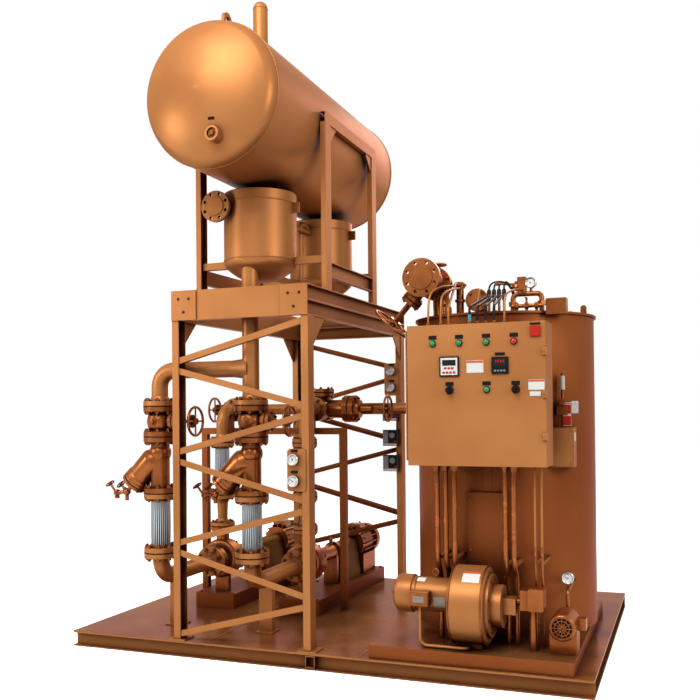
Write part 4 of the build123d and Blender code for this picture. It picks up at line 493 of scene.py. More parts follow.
def frontPlates(mesh, back, rows):
    # Plates that face the front: x and z of the middle, then its way off the back and its size in mm
    for x, z, away, (width, thick, height) in rows:
        slab(mesh, (x, back - away * mm, z), (width * mm, thick * mm, height * mm))


def keyRow(x, z, count, pitch, away, size):
    # Equal plates side by side round a middle, for frontPlates
    return [(x + (i - (count - 1) / 2) * pitch * mm, z, away, size) for i in range(count)]


def bentPipes(name, routes, radius, material, roundness=3, caps=True):
    # Pipes of one radius, bent along smooth routes
    curve = bpy.data.curves.new(name, "CURVE")
    curve.dimensions = "3D"
    curve.bevel_depth = radius
    curve.bevel_resolution = roundness
    curve.use_fill_caps = caps
    curve.materials.append(material)
    for route in routes:
        spline = curve.splines.new("NURBS")
        spline.points.add(len(route) - 1)
        for point, place in zip(spline.points, route):
            point.co = (*place, 1)
        spline.order_u = 3
        spline.use_endpoint_u = True
    bent = bpy.data.objects.new(name, curve)
    scene.collection.objects.link(bent)
    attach(bent, "skid")


# Flanged joints: studs with a hex nut at each end, and the dark line of the gasket between the flanges
suctionValues = {"x": (-1.180, -0.465), "y": -1.037, "joints": (0.656, 1.068, 1.460, 1.672),
                 "pumpFace": -0.330, "pumpZ": 0.475, "flange": 114 * mm, "circle": 95 * mm, "count": 8,
                 "nut": 16 * mm, "grip": 36 * mm}
dischargeValues = {"y": -0.165, "joints": (0.727, 0.975, 1.385), "valveJoints": (0.060, 0.263), "z": 1.640,
                   "flange": 95 * mm, "circle": 75 * mm, "count": 8, "nut": 12 * mm, "grip": 30 * mm}
bonnetValues = {"share": 0.45, "flange": 68 * mm, "circle": 55 * mm, "count": 6, "nut": 9 * mm,
                "grip": 28 * mm, "valves": (  # middle, the stem's direction and its length
                    ((-1.180, -1.037, 1.566), alongX, 0.285), ((-0.465, -1.037, 1.566), alongX, 0.285),
                    ((-1.180, 0.1615, 1.640), toLeft, 0.250), ((-0.465, 0.1615, 1.640), alongX, 0.564),
                    ((0.662, -0.630, 2.496), (-0.663926, 0, -0.747798), 0.380))}
strainerValues = {"start": 1.3472, "axis": (-0.7071, 0, -0.7071), "reach": 0.286, "flange": 92 * mm,
                  "circle": 78 * mm, "count": 8, "nut": 10 * mm, "grip": 24 * mm}
outletValues = {"joint": (0.662, -0.450, 2.496), "flange": 114 * mm, "circle": 95 * mm, "count": 8,
                "nut": 14 * mm, "grip": 30 * mm}
coverValues = {"joint": (-0.465, 0.1615, 1.770), "flange": 105 * mm, "circle": 85 * mm, "count": 8,
               "nut": 11 * mm, "grip": 30 * mm}
roofValues = {"joint": (0.937, -0.373, 2.380), "flange": 78 * mm, "circle": 61 * mm, "count": 4,
              "nut": 9 * mm, "grip": 22 * mm}
gasketValues = {"proud": 0.8 * mm, "height": 8 * mm, "inset": 20 * mm}
pipeJoints = []
for x in suctionValues["x"]:
    pipeJoints += [((x, suctionValues["y"], z), alongZ, suctionValues) for z in suctionValues["joints"]]
    pipeJoints.append(((x, suctionValues["pumpFace"], suctionValues["pumpZ"]), alongY, suctionValues))
    pipeJoints += [((x, dischargeValues["y"], z), alongZ, dischargeValues) for z in dischargeValues["joints"]]
    pipeJoints += [((x, y, dischargeValues["z"]), alongY, dischargeValues)
                   for y in dischargeValues["valveJoints"]]
coverJoints = [(Vector(middle) + Vector(axis) * reach * bonnetValues["share"], axis, bonnetValues)
               for middle, axis, reach in bonnetValues["valves"]]
legAxis = Vector(strainerValues["axis"])
legStarts = [Vector((x, suctionValues["y"], strainerValues["start"])) for x in suctionValues["x"]]
coverJoints += [(start + legAxis * strainerValues["reach"], legAxis, strainerValues) for start in legStarts]
coverJoints += [(outletValues["joint"], alongY, outletValues), (coverValues["joint"], alongZ, coverValues),
                (roofValues["joint"], alongY, roofValues)]
for name, joints in (("flangeStuds", pipeJoints), ("coverStuds", coverJoints)):
    bolts = bmesh.new()
    for place, axis, values in joints:
        studs(bolts, place, axis, values)
    piece(name, bolts, castPaint)
gaskets = bmesh.new()
half = gasketValues["height"] / 2
for place, axis, values in pipeJoints + coverJoints:
    outer, inner = values["flange"] + gasketValues["proud"], values["flange"] - gasketValues["inset"]
    section = ((inner, -half), (outer, -half), (outer, half), (inner, half), (inner, -half))
    lathe(gaskets, place, axis, section, sides=48)
piece("flangeGaskets", gaskets, graphiteGasket)

# Strainer legs: the cast barrel of each inclined leg, wide at its root and stepped at the cover
legValues = {"outline": ((0, 0), (60, 18), (88, 62), (90, 80), (85, 225), (92, 236), (92, 262), (0, 262))}
legs = bmesh.new()
for start in legStarts:
    lathe(legs, start, legAxis, scaled(legValues["outline"]), sides=56)
piece("strainerLegs", legs, castPaint, bevel=3 * mm, smoothDegrees=30)

# Second discharge valve: its long bonnet with a bolted flange and a stem gland
stemValues = {"place": (-0.390, 0.1615, 1.640), "joint": (-0.2075, 0.1615, 1.640), "circle": 88 * mm,
              "count": 8, "nut": 12 * mm, "grip": 46 * mm,
              "outline": ((0, 0), (70, 0), (74, 100), (80, 135), (106, 137), (106, 178), (99, 180), (99, 185),
                          (106, 187), (106, 228), (78, 230), (70, 262), (40, 275), (32, 360), (0, 360))}
bonnet = bmesh.new()
lathe(bonnet, stemValues["place"], alongX, scaled(stemValues["outline"]), sides=56)
studs(bonnet, stemValues["joint"], alongX, stemValues)
piece("dischargeBonnet", bonnet, castPaint, smoothDegrees=30)

# Hex screws: pump covers, bearing caps, base plates, blower flange, burner panel and heater roof
heaterValues = {"x": 1.075, "y": -0.143, "radius": 0.610}
blowerValues = {"y": -1.010, "z": 0.439, "radius": 0.236, "rims": (0.932, 1.130), "rim": 5 * mm}
screwValues = {
    "cover": {"y": -0.095, "circle": 0.138, "count": 10, "radius": 9 * mm},
    "bearing": {"y": 0.400, "circle": 0.060, "count": 6, "radius": 6 * mm},
    "base": {"aside": 0.140, "y": (-0.265, 0.380, 0.790, 1.160), "z": 0.218, "radius": 11 * mm},
    "blower": {"x": 1.162, "circle": 0.165, "count": 8, "radius": 8 * mm},
    "panel": {"x": (0.965, 1.185), "y": -0.770, "low": 0.245, "step": 0.162, "count": 6, "radius": 7 * mm},
    "roof": {"circle": 0.590, "count": 28, "radius": 8 * mm},
}
heads = bmesh.new()
for x in suctionValues["x"]:
    for values in (screwValues["cover"], screwValues["bearing"]):
        middle = (x, values["y"], suctionValues["pumpZ"])
        spots = circleSpots(middle, alongY, values["circle"], values["count"])
        screws(heads, spots, alongY, values["radius"])
    values = screwValues["base"]
    feet = [(x + side * values["aside"], y, values["z"]) for side in (-1, 1) for y in values["y"]]
    screws(heads, feet, alongZ, values["radius"])
values = screwValues["blower"]
middle = (values["x"], blowerValues["y"], blowerValues["z"])
screws(heads, circleSpots(middle, alongX, values["circle"], values["count"]), alongX, values["radius"])
values = screwValues["panel"]
spots = [(x, values["y"], values["low"] + values["step"] * i)
         for x in values["x"] for i in range(values["count"])]
screws(heads, spots, toFront, values["radius"])
values = screwValues["roof"]
middle = (heaterValues["x"], heaterValues["y"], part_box("heater_top")[1][2])
screws(heads, circleSpots(middle, alongZ, values["circle"], values["count"]), alongZ, values["radius"])
piece("hexScrews", heads, castPaint)

# Suction valve bodies: a cast barrel between the flanges, with a round boss and plug at the front
barrelValues = {"low": 1.498, "boss": 26 * mm, "plug": 15 * mm, "bossZ": 1.566, "front": 84 * mm,
                "rise": 8 * mm,
                "outline": ((58, 0), (70, 8), (82, 24), (86, 44), (86, 92), (82, 112), (70, 128), (58, 136))}
barrels = bmesh.new()
for x in suctionValues["x"]:
    low = (x, suctionValues["y"], barrelValues["low"])
    lathe(barrels, low, alongZ, scaled(barrelValues["outline"]), sides=56)
    boss = Vector((x, suctionValues["y"] - barrelValues["front"], barrelValues["bossZ"]))
    bar(barrels, boss, toFront, barrelValues["boss"], barrelValues["rise"], sides=32)
    screws(barrels, [boss + Vector(toFront) * barrelValues["rise"]], toFront, barrelValues["plug"])
piece("valveBarrels", barrels, castPaint)

# Splice plates at the header corners: three bolts each, front and back, near black as painted shade
spliceValues = {"middles": (-0.870, -0.060), "faces": ((-1.223, -1), (0.803, 1)),
                "spots": ((-40, 2388), (40, 2388), (0, 2300)), "bolt": 7 * mm}
heads = bmesh.new()
for middle in spliceValues["middles"]:
    for y, way in spliceValues["faces"]:
        spots = [(middle + x * mm, y, z * mm) for x, z in spliceValues["spots"]]
        screws(heads, spots, (0, way, 0), spliceValues["bolt"])
piece("spliceBolts", heads, shadeBlackSteel)
print("bolts set")

# Weld beads round the seams of the tank, the vessels and the vent's foot, and along the deck's seams
tankValues = {"x": -0.465, "z": 3.605, "radius": 0.457, "seams": (-1.524, 0.616), "bead": 5 * mm}
vesselValues = {"y": (-0.876, 0.190), "radius": 0.250, "seams": (2.660, 3.049), "bead": 4 * mm}
ventValues = {"y": -0.850, "foot": 4.030, "neck": 4.425, "radius": 51 * mm, "rows": 8, "seam": 4.064,
              "bead": 6 * mm, "neckBead": 2.5 * mm}
deckSeams = {"x": (-0.72, 0.36), "front": -1.20, "back": 1.20, "width": 9 * mm, "rise": 2 * mm}
tankX = tankValues["x"]
beads = bmesh.new()
for y in tankValues["seams"]:
    ring(beads, (tankX, y, tankValues["z"]), alongY, tankValues["radius"], tankValues["bead"], sides=96)
for y in vesselValues["y"]:
    for z in vesselValues["seams"]:
        ring(beads, (tankX, y, z), alongZ, vesselValues["radius"], vesselValues["bead"], sides=72)
ventFoot = (tankX, ventValues["y"], ventValues["seam"])
ring(beads, ventFoot, alongZ, ventValues["radius"], ventValues["bead"], sides=40)
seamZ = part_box("deck_plate")[1][2] + deckSeams["rise"] / 2
seamSize = (deckSeams["width"], deckSeams["back"] - deckSeams["front"], deckSeams["rise"])
for x in deckSeams["x"]:
    slab(beads, (x, (deckSeams["front"] + deckSeams["back"]) / 2, seamZ), seamSize)
piece("weldBeads", beads, bronzePaint)

# Braided sleeves of the flexible connectors: a slightly bellied tube with its own map for the weave
sleeveValues = {"belly": 2 * mm, "sides": 64, "rows": 16, "lines": (
    {"y": suctionValues["y"], "low": 0.713, "high": 1.011, "radius": 67 * mm},
    {"y": dischargeValues["y"], "low": 1.026, "high": 1.334, "radius": 56 * mm})}
sides, rows = sleeveValues["sides"], sleeveValues["rows"]
angles = [2 * math.pi * i / sides for i in range(sides)]
sleeves = bmesh.new()
weave = sleeves.loops.layers.uv.new("weave")
for x in suctionValues["x"]:
    for values in sleeveValues["lines"]:
        length = values["high"] - values["low"]
        turnLength = 2 * math.pi * values["radius"]
        loops = []
        for j in range(rows + 1):
            reach = values["radius"] + sleeveValues["belly"] * math.sin(math.pi * j / rows)
            z = values["low"] + length * j / rows
            loops.append([sleeves.verts.new((x + reach * math.cos(a), values["y"] + reach * math.sin(a), z))
                          for a in angles])
        for j in range(rows):
            for i in range(sides):
                k = (i + 1) % sides
                face = sleeves.faces.new((loops[j][i], loops[j][k], loops[j + 1][k], loops[j + 1][i]))
                for loop, (across, rise) in zip(face.loops, ((i, j), (i + 1, j), (i + 1, j + 1), (i, j + 1))):
                    loop[weave].uv = (turnLength * across / sides, length * rise / rows)
piece("braidSleeves", sleeves, wireBraid)
print("welds and braids set")

# Gauges: a rolled bezel, an enamelled dial with ticks, a needle and its cap, all in shares of the radius
gaugeValues = {
    "radius": 35 * mm, "sweep": 270, "ticks": 21, "longEvery": 5,
    "bezel": ((0.84, 0), (1.06, 0), (1.06, 0.2), (0.96, 0.3), (0.84, 0.2), (0.84, 0)),
    "face": ((0, 0.08), (0.85, 0.08), (0.85, 0), (0, 0)),
    "tick": {"outer": 0.78, "long": 0.18, "short": 0.10, "width": 0.03, "lift": 0.10},
    "needle": {"inner": -0.18, "outer": 0.62, "width": 0.045, "lift": 0.14},
    "cap": {"lift": 0.08, "radius": 0.09, "height": 0.10},
    "dials": (  # place and reading; the first four stand on plates and have a tag above
        ((-0.065, -1.245, 1.188), 0.30), ((-0.065, -1.245, 1.324), 0.42), ((-0.050, 0.675, 1.814), 0.30),
        ((-0.050, 0.675, 1.950), 0.45), ((1.578, -0.792, 0.590), 0.25), ((1.317, -0.467, 2.466), 0.38)),
    "tagged": 4, "tagAway": (0, 0.023, 0.056), "tagSize": (46 * mm, 4 * mm, 16 * mm),
}
radius, sweep, ticks = gaugeValues["radius"], gaugeValues["sweep"], gaugeValues["ticks"]
tick, needle, cap = gaugeValues["tick"], gaugeValues["needle"], gaugeValues["cap"]
bezels, faces, marks = bmesh.new(), bmesh.new(), bmesh.new()
for place, reading in gaugeValues["dials"]:
    lathe(bezels, place, toFront, scaled(gaugeValues["bezel"], radius))
    lathe(faces, place, toFront, scaled(gaugeValues["face"], radius))
    for i in range(ticks):
        angle = math.radians(sweep * (0.5 - i / (ticks - 1)))
        inner = tick["outer"] - (tick["short"] if i % gaugeValues["longEvery"] else tick["long"])
        dialMark(marks, place, radius, angle, inner, tick["outer"], tick["width"], tick["lift"])
    angle = math.radians(sweep * (0.5 - reading))
    dialMark(marks, place, radius, angle, needle["inner"], needle["outer"], needle["width"], needle["lift"])
    foot = Vector(place) + Vector(toFront) * radius * cap["lift"]
    bar(marks, foot, toFront, radius * cap["radius"], radius * cap["height"], sides=12)
piece("gaugeBezels", bezels, bezelSteel)
piece("gaugeDials", faces, dialWhite)
piece("gaugeMarks", marks, dialInk)
tags = bmesh.new()
for place, reading in gaugeValues["dials"][:gaugeValues["tagged"]]:
    slab(tags, Vector(place) + Vector(gaugeValues["tagAway"]), gaugeValues["tagSize"])
piece("gaugeTags", tags, blackPlastic, bevel=1 * mm)
print("gauges set")

# Door lamps and switches: black collars, domed lenses and the knobs' grips; outlines in mm
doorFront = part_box("cabinet_door")[0][1]
lampValues = {
    "green": ((0.826, 2.035), (0.992, 2.035), (1.158, 2.035), (1.158, 1.750)), "red": ((1.324, 2.035),),
    "knobs": ((0.930, 1.750), (1.332, 1.750)), "lampBody": 16.3, "knobBody": 20.3,
    "collar": ((0, 0), (5, 0), (5, 4), (2, 7), (0, 7), (0, 0)), "lensDepth": 16 * mm,
    "lens": ((0, 7), (7, 6), (12, 3.5), (15.5, 0), (0, 0)), "gripAway": 35, "grip": (11, 10, 36),
    "tagRise": 38 * mm, "tag": (50, 2, 24),
}
collars = bmesh.new()
lamps = lampValues["green"] + lampValues["red"]
for x, z in lamps + lampValues["knobs"]:
    inner = lampValues["lampBody"] if (x, z) in lamps else lampValues["knobBody"]
    outline = [(inner + past, rise) for past, rise in lampValues["collar"]]
    lathe(collars, (x, doorFront, z), toFront, scaled(outline))
piece("lampCollars", collars, blackPlastic, "door")
for name, material in (("green", greenLens), ("red", redLens)):
    lenses = bmesh.new()
    for x, z in lampValues[name]:
        lathe(lenses, (x, doorFront - lampValues["lensDepth"], z), toFront, scaled(lampValues["lens"]))
    piece(name + "LampLenses", lenses, material, "door")

# Door plates: each row is x, z, the middle's way off the door and width, thickness and height in mm
lampTags = [(x, z + lampValues["tagRise"], 1, lampValues["tag"]) for x, z in lamps + lampValues["knobs"]]
doorPlates = {
    "switchGrips": (blackPlastic, 2 * mm, [
        (x, z, lampValues["gripAway"], lampValues["grip"]) for x, z in lampValues["knobs"]]),
    "doorTags": (blackPlastic, 0.6 * mm, lampTags + [
        (1.240, 1.962, 1, (60, 2, 18)), (1.450, 2.134, 1, (62, 2, 12))]),
    "doorWhitePlates": (whitePlate, 0.5 * mm, [
        (0.930, 1.894, 11, (104, 2, 104)), (1.088, 1.890, 0.8, (103, 1.6, 75)),
        (1.454, 1.775, 0.8, (94, 1.6, 60)), (1.448, 1.722, 0.8, (66, 1.6, 26))]),
    "doorDisplays": (displayGlass, 0.5 * mm, [
        (0.930, 1.917, 13, (82, 3, 34)), (1.240, 1.910, 11, (80, 2, 42))]),
    "doorRedKeys": (redPlate, 0.5 * mm, [
        *keyRow(0.930, 1.884, count=3, pitch=22, away=13, size=(15, 3, 12)),
        *keyRow(0.930, 1.858, count=4, pitch=22, away=13, size=(15, 3, 12)),
        *keyRow(1.240, 1.918, count=4, pitch=15, away=12.4, size=(8, 0.8, 13)),
        (1.450, 2.090, 11, (58, 2, 58))]),
    "doorGreyKeys": (greyPlastic, 0.5 * mm,
                     keyRow(1.240, 1.862, count=4, pitch=19, away=11.5, size=(12, 3, 10))),
    "doorPlateBands": (orangeBand, 0.0, [
        (1.088, 1.919, 1, (101, 2, 14)), (1.454, 1.798, 1, (92, 2, 11))]),
}
for name, (material, soft, rows) in doorPlates.items():
    plates = bmesh.new()
    frontPlates(plates, doorFront, rows)
    piece(name, plates, material, "door", bevel=soft)

# Door clamps: a block over the door's edge with a hex screw
clampValues = {"heights": (1.47, 1.72, 1.97), "x": 1.504, "away": 7, "size": (30, 14, 44),
               "screw": 7 * mm, "screwHeight": 5 * mm}
clamps = bmesh.new()
frontPlates(clamps, doorFront, [(clampValues["x"], z, clampValues["away"], clampValues["size"])
                                for z in clampValues["heights"]])
for z in clampValues["heights"]:
    place = (clampValues["x"], doorFront - clampValues["size"][1] * mm, z)
    bar(clamps, place, toFront, clampValues["screw"], clampValues["screwHeight"], sides=6)
piece("doorClamps", clamps, bronzePaint, "door", bevel=2 * mm)
print("door instruments set")

# Pressure switches: a grey cover and a round knob, a white strip below and a red corner
switchValues = {"bottoms": (1.116, 1.326, 1.536), "left": -0.113, "front": 0.645, "knobX": 84 * mm,
                "knobZ": 88 * mm, "knob": 24 * mm, "knobHeight": 10 * mm, "plates": (
                    ("switchCovers", greyPlastic, 2 * mm, (26, 76), 4, (46, 8, 104)),
                    ("switchStrips", whitePlate, 0.5 * mm, (63, 13), 2, (120, 4, 18)),
                    ("switchCorners", redPlate, 1 * mm, (110, 36), 3, (22, 6, 16)))}
left, front = switchValues["left"], switchValues["front"]
for name, material, soft, (aside, rise), away, size in switchValues["plates"]:
    plates = bmesh.new()
    rows = [(left + aside * mm, z + rise * mm, away, size) for z in switchValues["bottoms"]]
    frontPlates(plates, front, rows)
    if name == "switchCovers":
        for z in switchValues["bottoms"]:
            place = (left + switchValues["knobX"], front, z + switchValues["knobZ"])
            bar(plates, place, toFront, switchValues["knob"], switchValues["knobHeight"], sides=32)
    piece(name, plates, material, bevel=soft)

# Blower and its motor: rolled rims, a wire grille, a lifting eye, a box lid and bare plates
motorValues = {
    "y": -1.010, "z": 0.483, "radius": 0.105, "cowlEnd": 0.554, "rims": (0.690, 0.900), "rim": 4 * mm,
    "grille": (0.030, 0.052, 0.074, 0.092), "wire": 4 * mm, "ribs": 8, "ribSize": (6 * mm, 5 * mm, 0.190),
    "ribAway": 2 * mm, "eyeX": 0.800, "eyeStem": 9 * mm, "eyeStemLength": 20 * mm, "eyeSunk": 4 * mm,
    "eyeRise": 34 * mm, "eyeAxis": (0.35, 1, 0), "eye": 20 * mm, "eyeWire": 5 * mm,
    "lid": ((0.737, -1.184, 0.483), (112 * mm, 6 * mm, 82 * mm)),
    "plate": ((0.737, -1.188, 0.483), (70 * mm, 2 * mm, 40 * mm)),
    "boxes": (((0.737, -1.148, 0.483), (0.120, 0.066, 0.090)),
              ((0.737, -1.100, 0.483), (0.080, 0.060, 0.060))),
    "outline": ((0, 0), (92, 0), (108, 5), (116, 14), (118, 26), (118, 110), (105, 113), (105, 352),
                (112, 354), (112, 366), (0, 366)),
}
labelValues = {"blower": {"x": 1.005, "length": 0.105, "span": (24, 46), "bandSpan": (24, 29),
                          "band": 0.8 * mm},
               "motor": {"x": 0.690, "length": 0.056, "span": (12, 34)},
               "nameplate": {"x": 0.812, "length": 0.072, "span": (86, 124)}}
motorY, motorZ, motorRadius = motorValues["y"], motorValues["z"], motorValues["radius"]
blowerY, blowerZ, blowerRadius = blowerValues["y"], blowerValues["z"], blowerValues["radius"]
trim = bmesh.new()
for x in blowerValues["rims"]:
    ring(trim, (x, blowerY, blowerZ), alongX, blowerRadius, blowerValues["rim"], sides=80)
for reach in motorValues["grille"]:
    ring(trim, (motorValues["cowlEnd"], motorY, motorZ), alongX, reach, motorValues["wire"], rows=6)
for i in range(motorValues["ribs"]):
    away = Matrix.Rotation(math.pi * i / motorValues["ribs"], 4, "X")
    middle = (motorValues["cowlEnd"] - motorValues["ribAway"], motorY, motorZ)
    slab(trim, middle, motorValues["ribSize"], away)
motorTop = motorZ + motorRadius
stem = (motorValues["eyeX"], motorY, motorTop - motorValues["eyeSunk"])
bar(trim, stem, alongZ, motorValues["eyeStem"], motorValues["eyeStemLength"])
eye = (motorValues["eyeX"], motorY, motorTop + motorValues["eyeRise"])
ring(trim, eye, motorValues["eyeAxis"], motorValues["eye"], motorValues["eyeWire"], sides=28)
for x in motorValues["rims"]:
    ring(trim, (x, motorY, motorZ), alongX, motorRadius, motorValues["rim"], sides=56)
slab(trim, *motorValues["lid"])
piece("blowerTrim", trim, castPaint, bevel=1 * mm)
plates = bmesh.new()
values = labelValues["blower"]
wrap(plates, (values["x"], blowerY, blowerZ), alongX, blowerRadius, values["length"], values["span"])
band = bmesh.new()
wrap(band, (values["x"], blowerY, blowerZ), alongX, blowerRadius + values["band"], values["length"],
     values["bandSpan"])
values = labelValues["motor"]
wrap(plates, (values["x"], motorY, motorZ), alongX, motorRadius, values["length"], values["span"])
piece("blowerLabels", plates, whitePlate)
piece("blowerLabelBand", band, orangeBand)
plates = bmesh.new()
values = labelValues["nameplate"]
wrap(plates, (values["x"], motorY, motorZ), alongX, motorRadius, values["length"], values["span"])
slab(plates, *motorValues["plate"])
piece("motorNameplates", plates, namePlate)

# Motors' fan ends: radial ribs and rings over a nearly black disc, painted shade for the opening
pumpFan = {"y": 1.190, "way": 1, "radius": 0.104, "ribs": 16, "rings": (0.28, 0.52, 0.76, 1.0)}
oilFan = {"y": -1.080, "way": -1, "radius": 0.062, "ribs": 12, "rings": (0.36, 0.70, 1.0)}
fanValues = {"oilPump": (1.578, 0.348), "wire": 3.5 * mm, "ribAway": 2 * mm, "ribWidth": 4 * mm,
             "ribDepth": 5 * mm, "shade": 1.2 * mm}
fans = [(Vector((fanValues["oilPump"][0], oilFan["y"], fanValues["oilPump"][1])), oilFan)]
fans += [(Vector((x, pumpFan["y"], suctionValues["pumpZ"])), pumpFan) for x in suctionValues["x"]]
shadeRise = fanValues["shade"]
ribs, shades = bmesh.new(), bmesh.new()
for centre, values in fans:
    reach, way = values["radius"], Vector((0, values["way"], 0))
    for share in values["rings"]:
        ring(ribs, centre, alongY, reach * share, fanValues["wire"], sides=40, rows=6)
    for i in range(values["ribs"] // 2):
        away = Matrix.Rotation(2 * math.pi * i / values["ribs"], 4, "Y")
        size = (fanValues["ribWidth"], fanValues["ribDepth"], 2 * reach)
        slab(ribs, centre + way * fanValues["ribAway"], size, away)
    lathe(shades, centre, way, ((0, shadeRise), (reach, shadeRise), (reach, 0), (0, 0)))
reach = motorValues["grille"][-1]
lathe(shades, (motorValues["cowlEnd"], motorY, motorZ), toLeft,
      ((0, shadeRise), (reach, shadeRise), (reach, 0), (0, 0)))
piece("fanGrilles", ribs, castPaint)
piece("fanShades", shades, darkHole)

# Pump motors: a lifting eye and bare nameplates on the terminal box and the side
eyeValues = {"y": 1.010, "low": 0.580, "stem": 12 * mm, "stemLength": 24 * mm, "z": 0.620, "radius": 18 * mm,
             "wire": 5 * mm}
nameplateValues = (((0, 0.920, 0.634), (84 * mm, 84 * mm, 3 * mm)),
                   ((60.8 * mm, 0.920, 0.585), (1.6 * mm, 70 * mm, 40 * mm)))
eyes, plates = bmesh.new(), bmesh.new()
for x in suctionValues["x"]:
    bar(eyes, (x, eyeValues["y"], eyeValues["low"]), alongZ, eyeValues["stem"], eyeValues["stemLength"])
    ring(eyes, (x, eyeValues["y"], eyeValues["z"]), alongX, eyeValues["radius"], eyeValues["wire"], sides=28)
    for (aside, y, z), size in nameplateValues:
        slab(plates, (x + aside, y, z), size)
piece("motorEyes", eyes, castPaint)
piece("pumpNameplates", plates, namePlate, bevel=0.5 * mm)
print("motors dressed")

# Ribbed conduits below the cabinet: a wound steel sheath over each lead, under a hex gland
sheathValues = {"x": (0.800, 0.855, 0.910, 1.230, 1.280), "y": -0.960, "top": 1.288, "fall": 0.560,
                "radius": 15.5 * mm, "rise": 2 * mm, "pitch": 9 * mm,
                "gland": ((14, 0), (24, 0), (24, 16), (20, 22), (20, 40), (14, 40))}
sheaths = bmesh.new()
inner, pitch = sheathValues["radius"], sheathValues["pitch"]
outer = inner + sheathValues["rise"]
turns = int(sheathValues["fall"] / pitch)
outline = []
for i in range(turns):
    outline += [(inner, i * pitch), (outer, i * pitch + pitch / 3), (outer, i * pitch + 2 * pitch / 3)]
outline.append((inner, turns * pitch))
for x in sheathValues["x"]:
    top = (x, sheathValues["y"], sheathValues["top"])
    lathe(sheaths, top, down, outline, sides=16)
    lathe(sheaths, top, down, scaled(sheathValues["gland"]), sides=6)
piece("conduitSheaths", sheaths, castPaint)

# Junction box: a lid with four screws, and a bare plate on its side
lidValues = {"margin": 6 * mm, "thick": 4 * mm, "screwIn": 20 * mm, "screw": 5 * mm, "plateIn": 60 * mm,
             "plate": (1.6 * mm, 70 * mm, 55 * mm)}
boxLow, boxHigh = [Vector(corner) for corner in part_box("junction_box")]
lidSize = boxHigh - boxLow - Vector((2, 2, 2)) * lidValues["margin"]
lidFront = boxLow.y - lidValues["thick"]
middle = (boxLow + boxHigh) / 2
lids = bmesh.new()
slab(lids, (middle.x, boxLow.y - lidValues["thick"] / 2, middle.z),
     (lidSize.x, lidValues["thick"], lidSize.z))
corners = [(x, lidFront, z) for x in (boxLow.x + lidValues["screwIn"], boxHigh.x - lidValues["screwIn"])
           for z in (boxLow.z + lidValues["screwIn"], boxHigh.z - lidValues["screwIn"])]
screws(lids, corners, toFront, lidValues["screw"])
piece("junctionLid", lids, bronzePaint, bevel=1 * mm)

# Sight glass: its tube, and white and red tags hung on a wire; the white piece takes the box's plate too
tagValues = {"white": (((1.612, -0.610, 1.640), (42 * mm, 2 * mm, 78 * mm)),
                       ((1.566, -0.6325, 1.592), (50 * mm, 2 * mm, 140 * mm))),
             "red": {"x": 1.566, "y": -0.634, "z": (1.555, 1.628), "size": (48 * mm, 2 * mm, 58 * mm)},
             "wireStart": (1.544, -0.6145, 1.668), "wire": 2 * mm, "wireLength": 80 * mm}
glassValues = {"place": (1.536, -0.6145, 1.752), "radius": 16 * mm, "height": 88 * mm}
plates = bmesh.new()
plateSize, plateIn = lidValues["plate"], lidValues["plateIn"]
slab(plates, (boxHigh.x + plateSize[0] / 2, boxLow.y + plateIn, boxHigh.z - plateIn), plateSize)
for place, size in tagValues["white"]:
    slab(plates, place, size)
bar(plates, tagValues["wireStart"], alongX, tagValues["wire"], tagValues["wireLength"], sides=8)
piece("sightTags", plates, whitePlate, bevel=0.5 * mm)
plates = bmesh.new()
for z in tagValues["red"]["z"]:
    slab(plates, (tagValues["red"]["x"], tagValues["red"]["y"], z), tagValues["red"]["size"])
piece("sightRedTag", plates, redPlate, bevel=0.5 * mm)
glass = bmesh.new()
bar(glass, glassValues["place"], alongZ, glassValues["radius"], glassValues["height"], sides=32)
piece("sightGlassTube", glass, sightGlass)

# Probe caps: four black terminals in a row on the heater's roof
probeValues = {"x": 1.035, "pitch": 0.034, "count": 4, "y": -0.450, "z": 2.404,
               "cap": ((0, 34), (9, 34), (14, 26), (16, 0), (0, 0))}
probeX = [probeValues["x"] + i * probeValues["pitch"] for i in range(probeValues["count"])]
caps = bmesh.new()
for x in probeX:
    lathe(caps, (x, probeValues["y"], probeValues["z"]), alongZ, scaled(probeValues["cap"]), sides=16)
piece("probeCaps", caps, blackPlastic)

# Heater jacket: a riveted lap seam up the back
jacketValues = {"low": 0.190, "high": 2.250, "span": (87.2, 92.8), "rivets": 26, "lap": 1.5 * mm,
                "rivet": ((0, 4), (4, 3), (6, 0), (0, 0))}
seam = bmesh.new()
foot = (heaterValues["x"], heaterValues["y"], jacketValues["low"])
seamHeight = jacketValues["high"] - jacketValues["low"]
wrap(seam, foot, alongZ, heaterValues["radius"], seamHeight, jacketValues["span"])
step = seamHeight / jacketValues["rivets"]
lapY = heaterValues["y"] + heaterValues["radius"] + jacketValues["lap"]
for i in range(jacketValues["rivets"]):
    place = (heaterValues["x"], lapY, jacketValues["low"] + (i + 0.5) * step)
    lathe(seam, place, alongY, scaled(jacketValues["rivet"]), sides=12)
piece("jacketSeam", seam, shadedBronzePaint)

# Vessel skirts: the shells stand up past their top heads, closed by a shallow dish under the tank
skirtValues = {"outline": ((0, 3046), (250.5, 3046), (250.5, 3116), (244, 3121), (200, 3130), (100, 3138),
                           (0, 3140))}
skirts = bmesh.new()
for y in vesselValues["y"]:
    lathe(skirts, (tankX, y, 0), alongZ, scaled(skirtValues["outline"]), sides=72)
piece("vesselSkirts", skirts, bronzePaint)

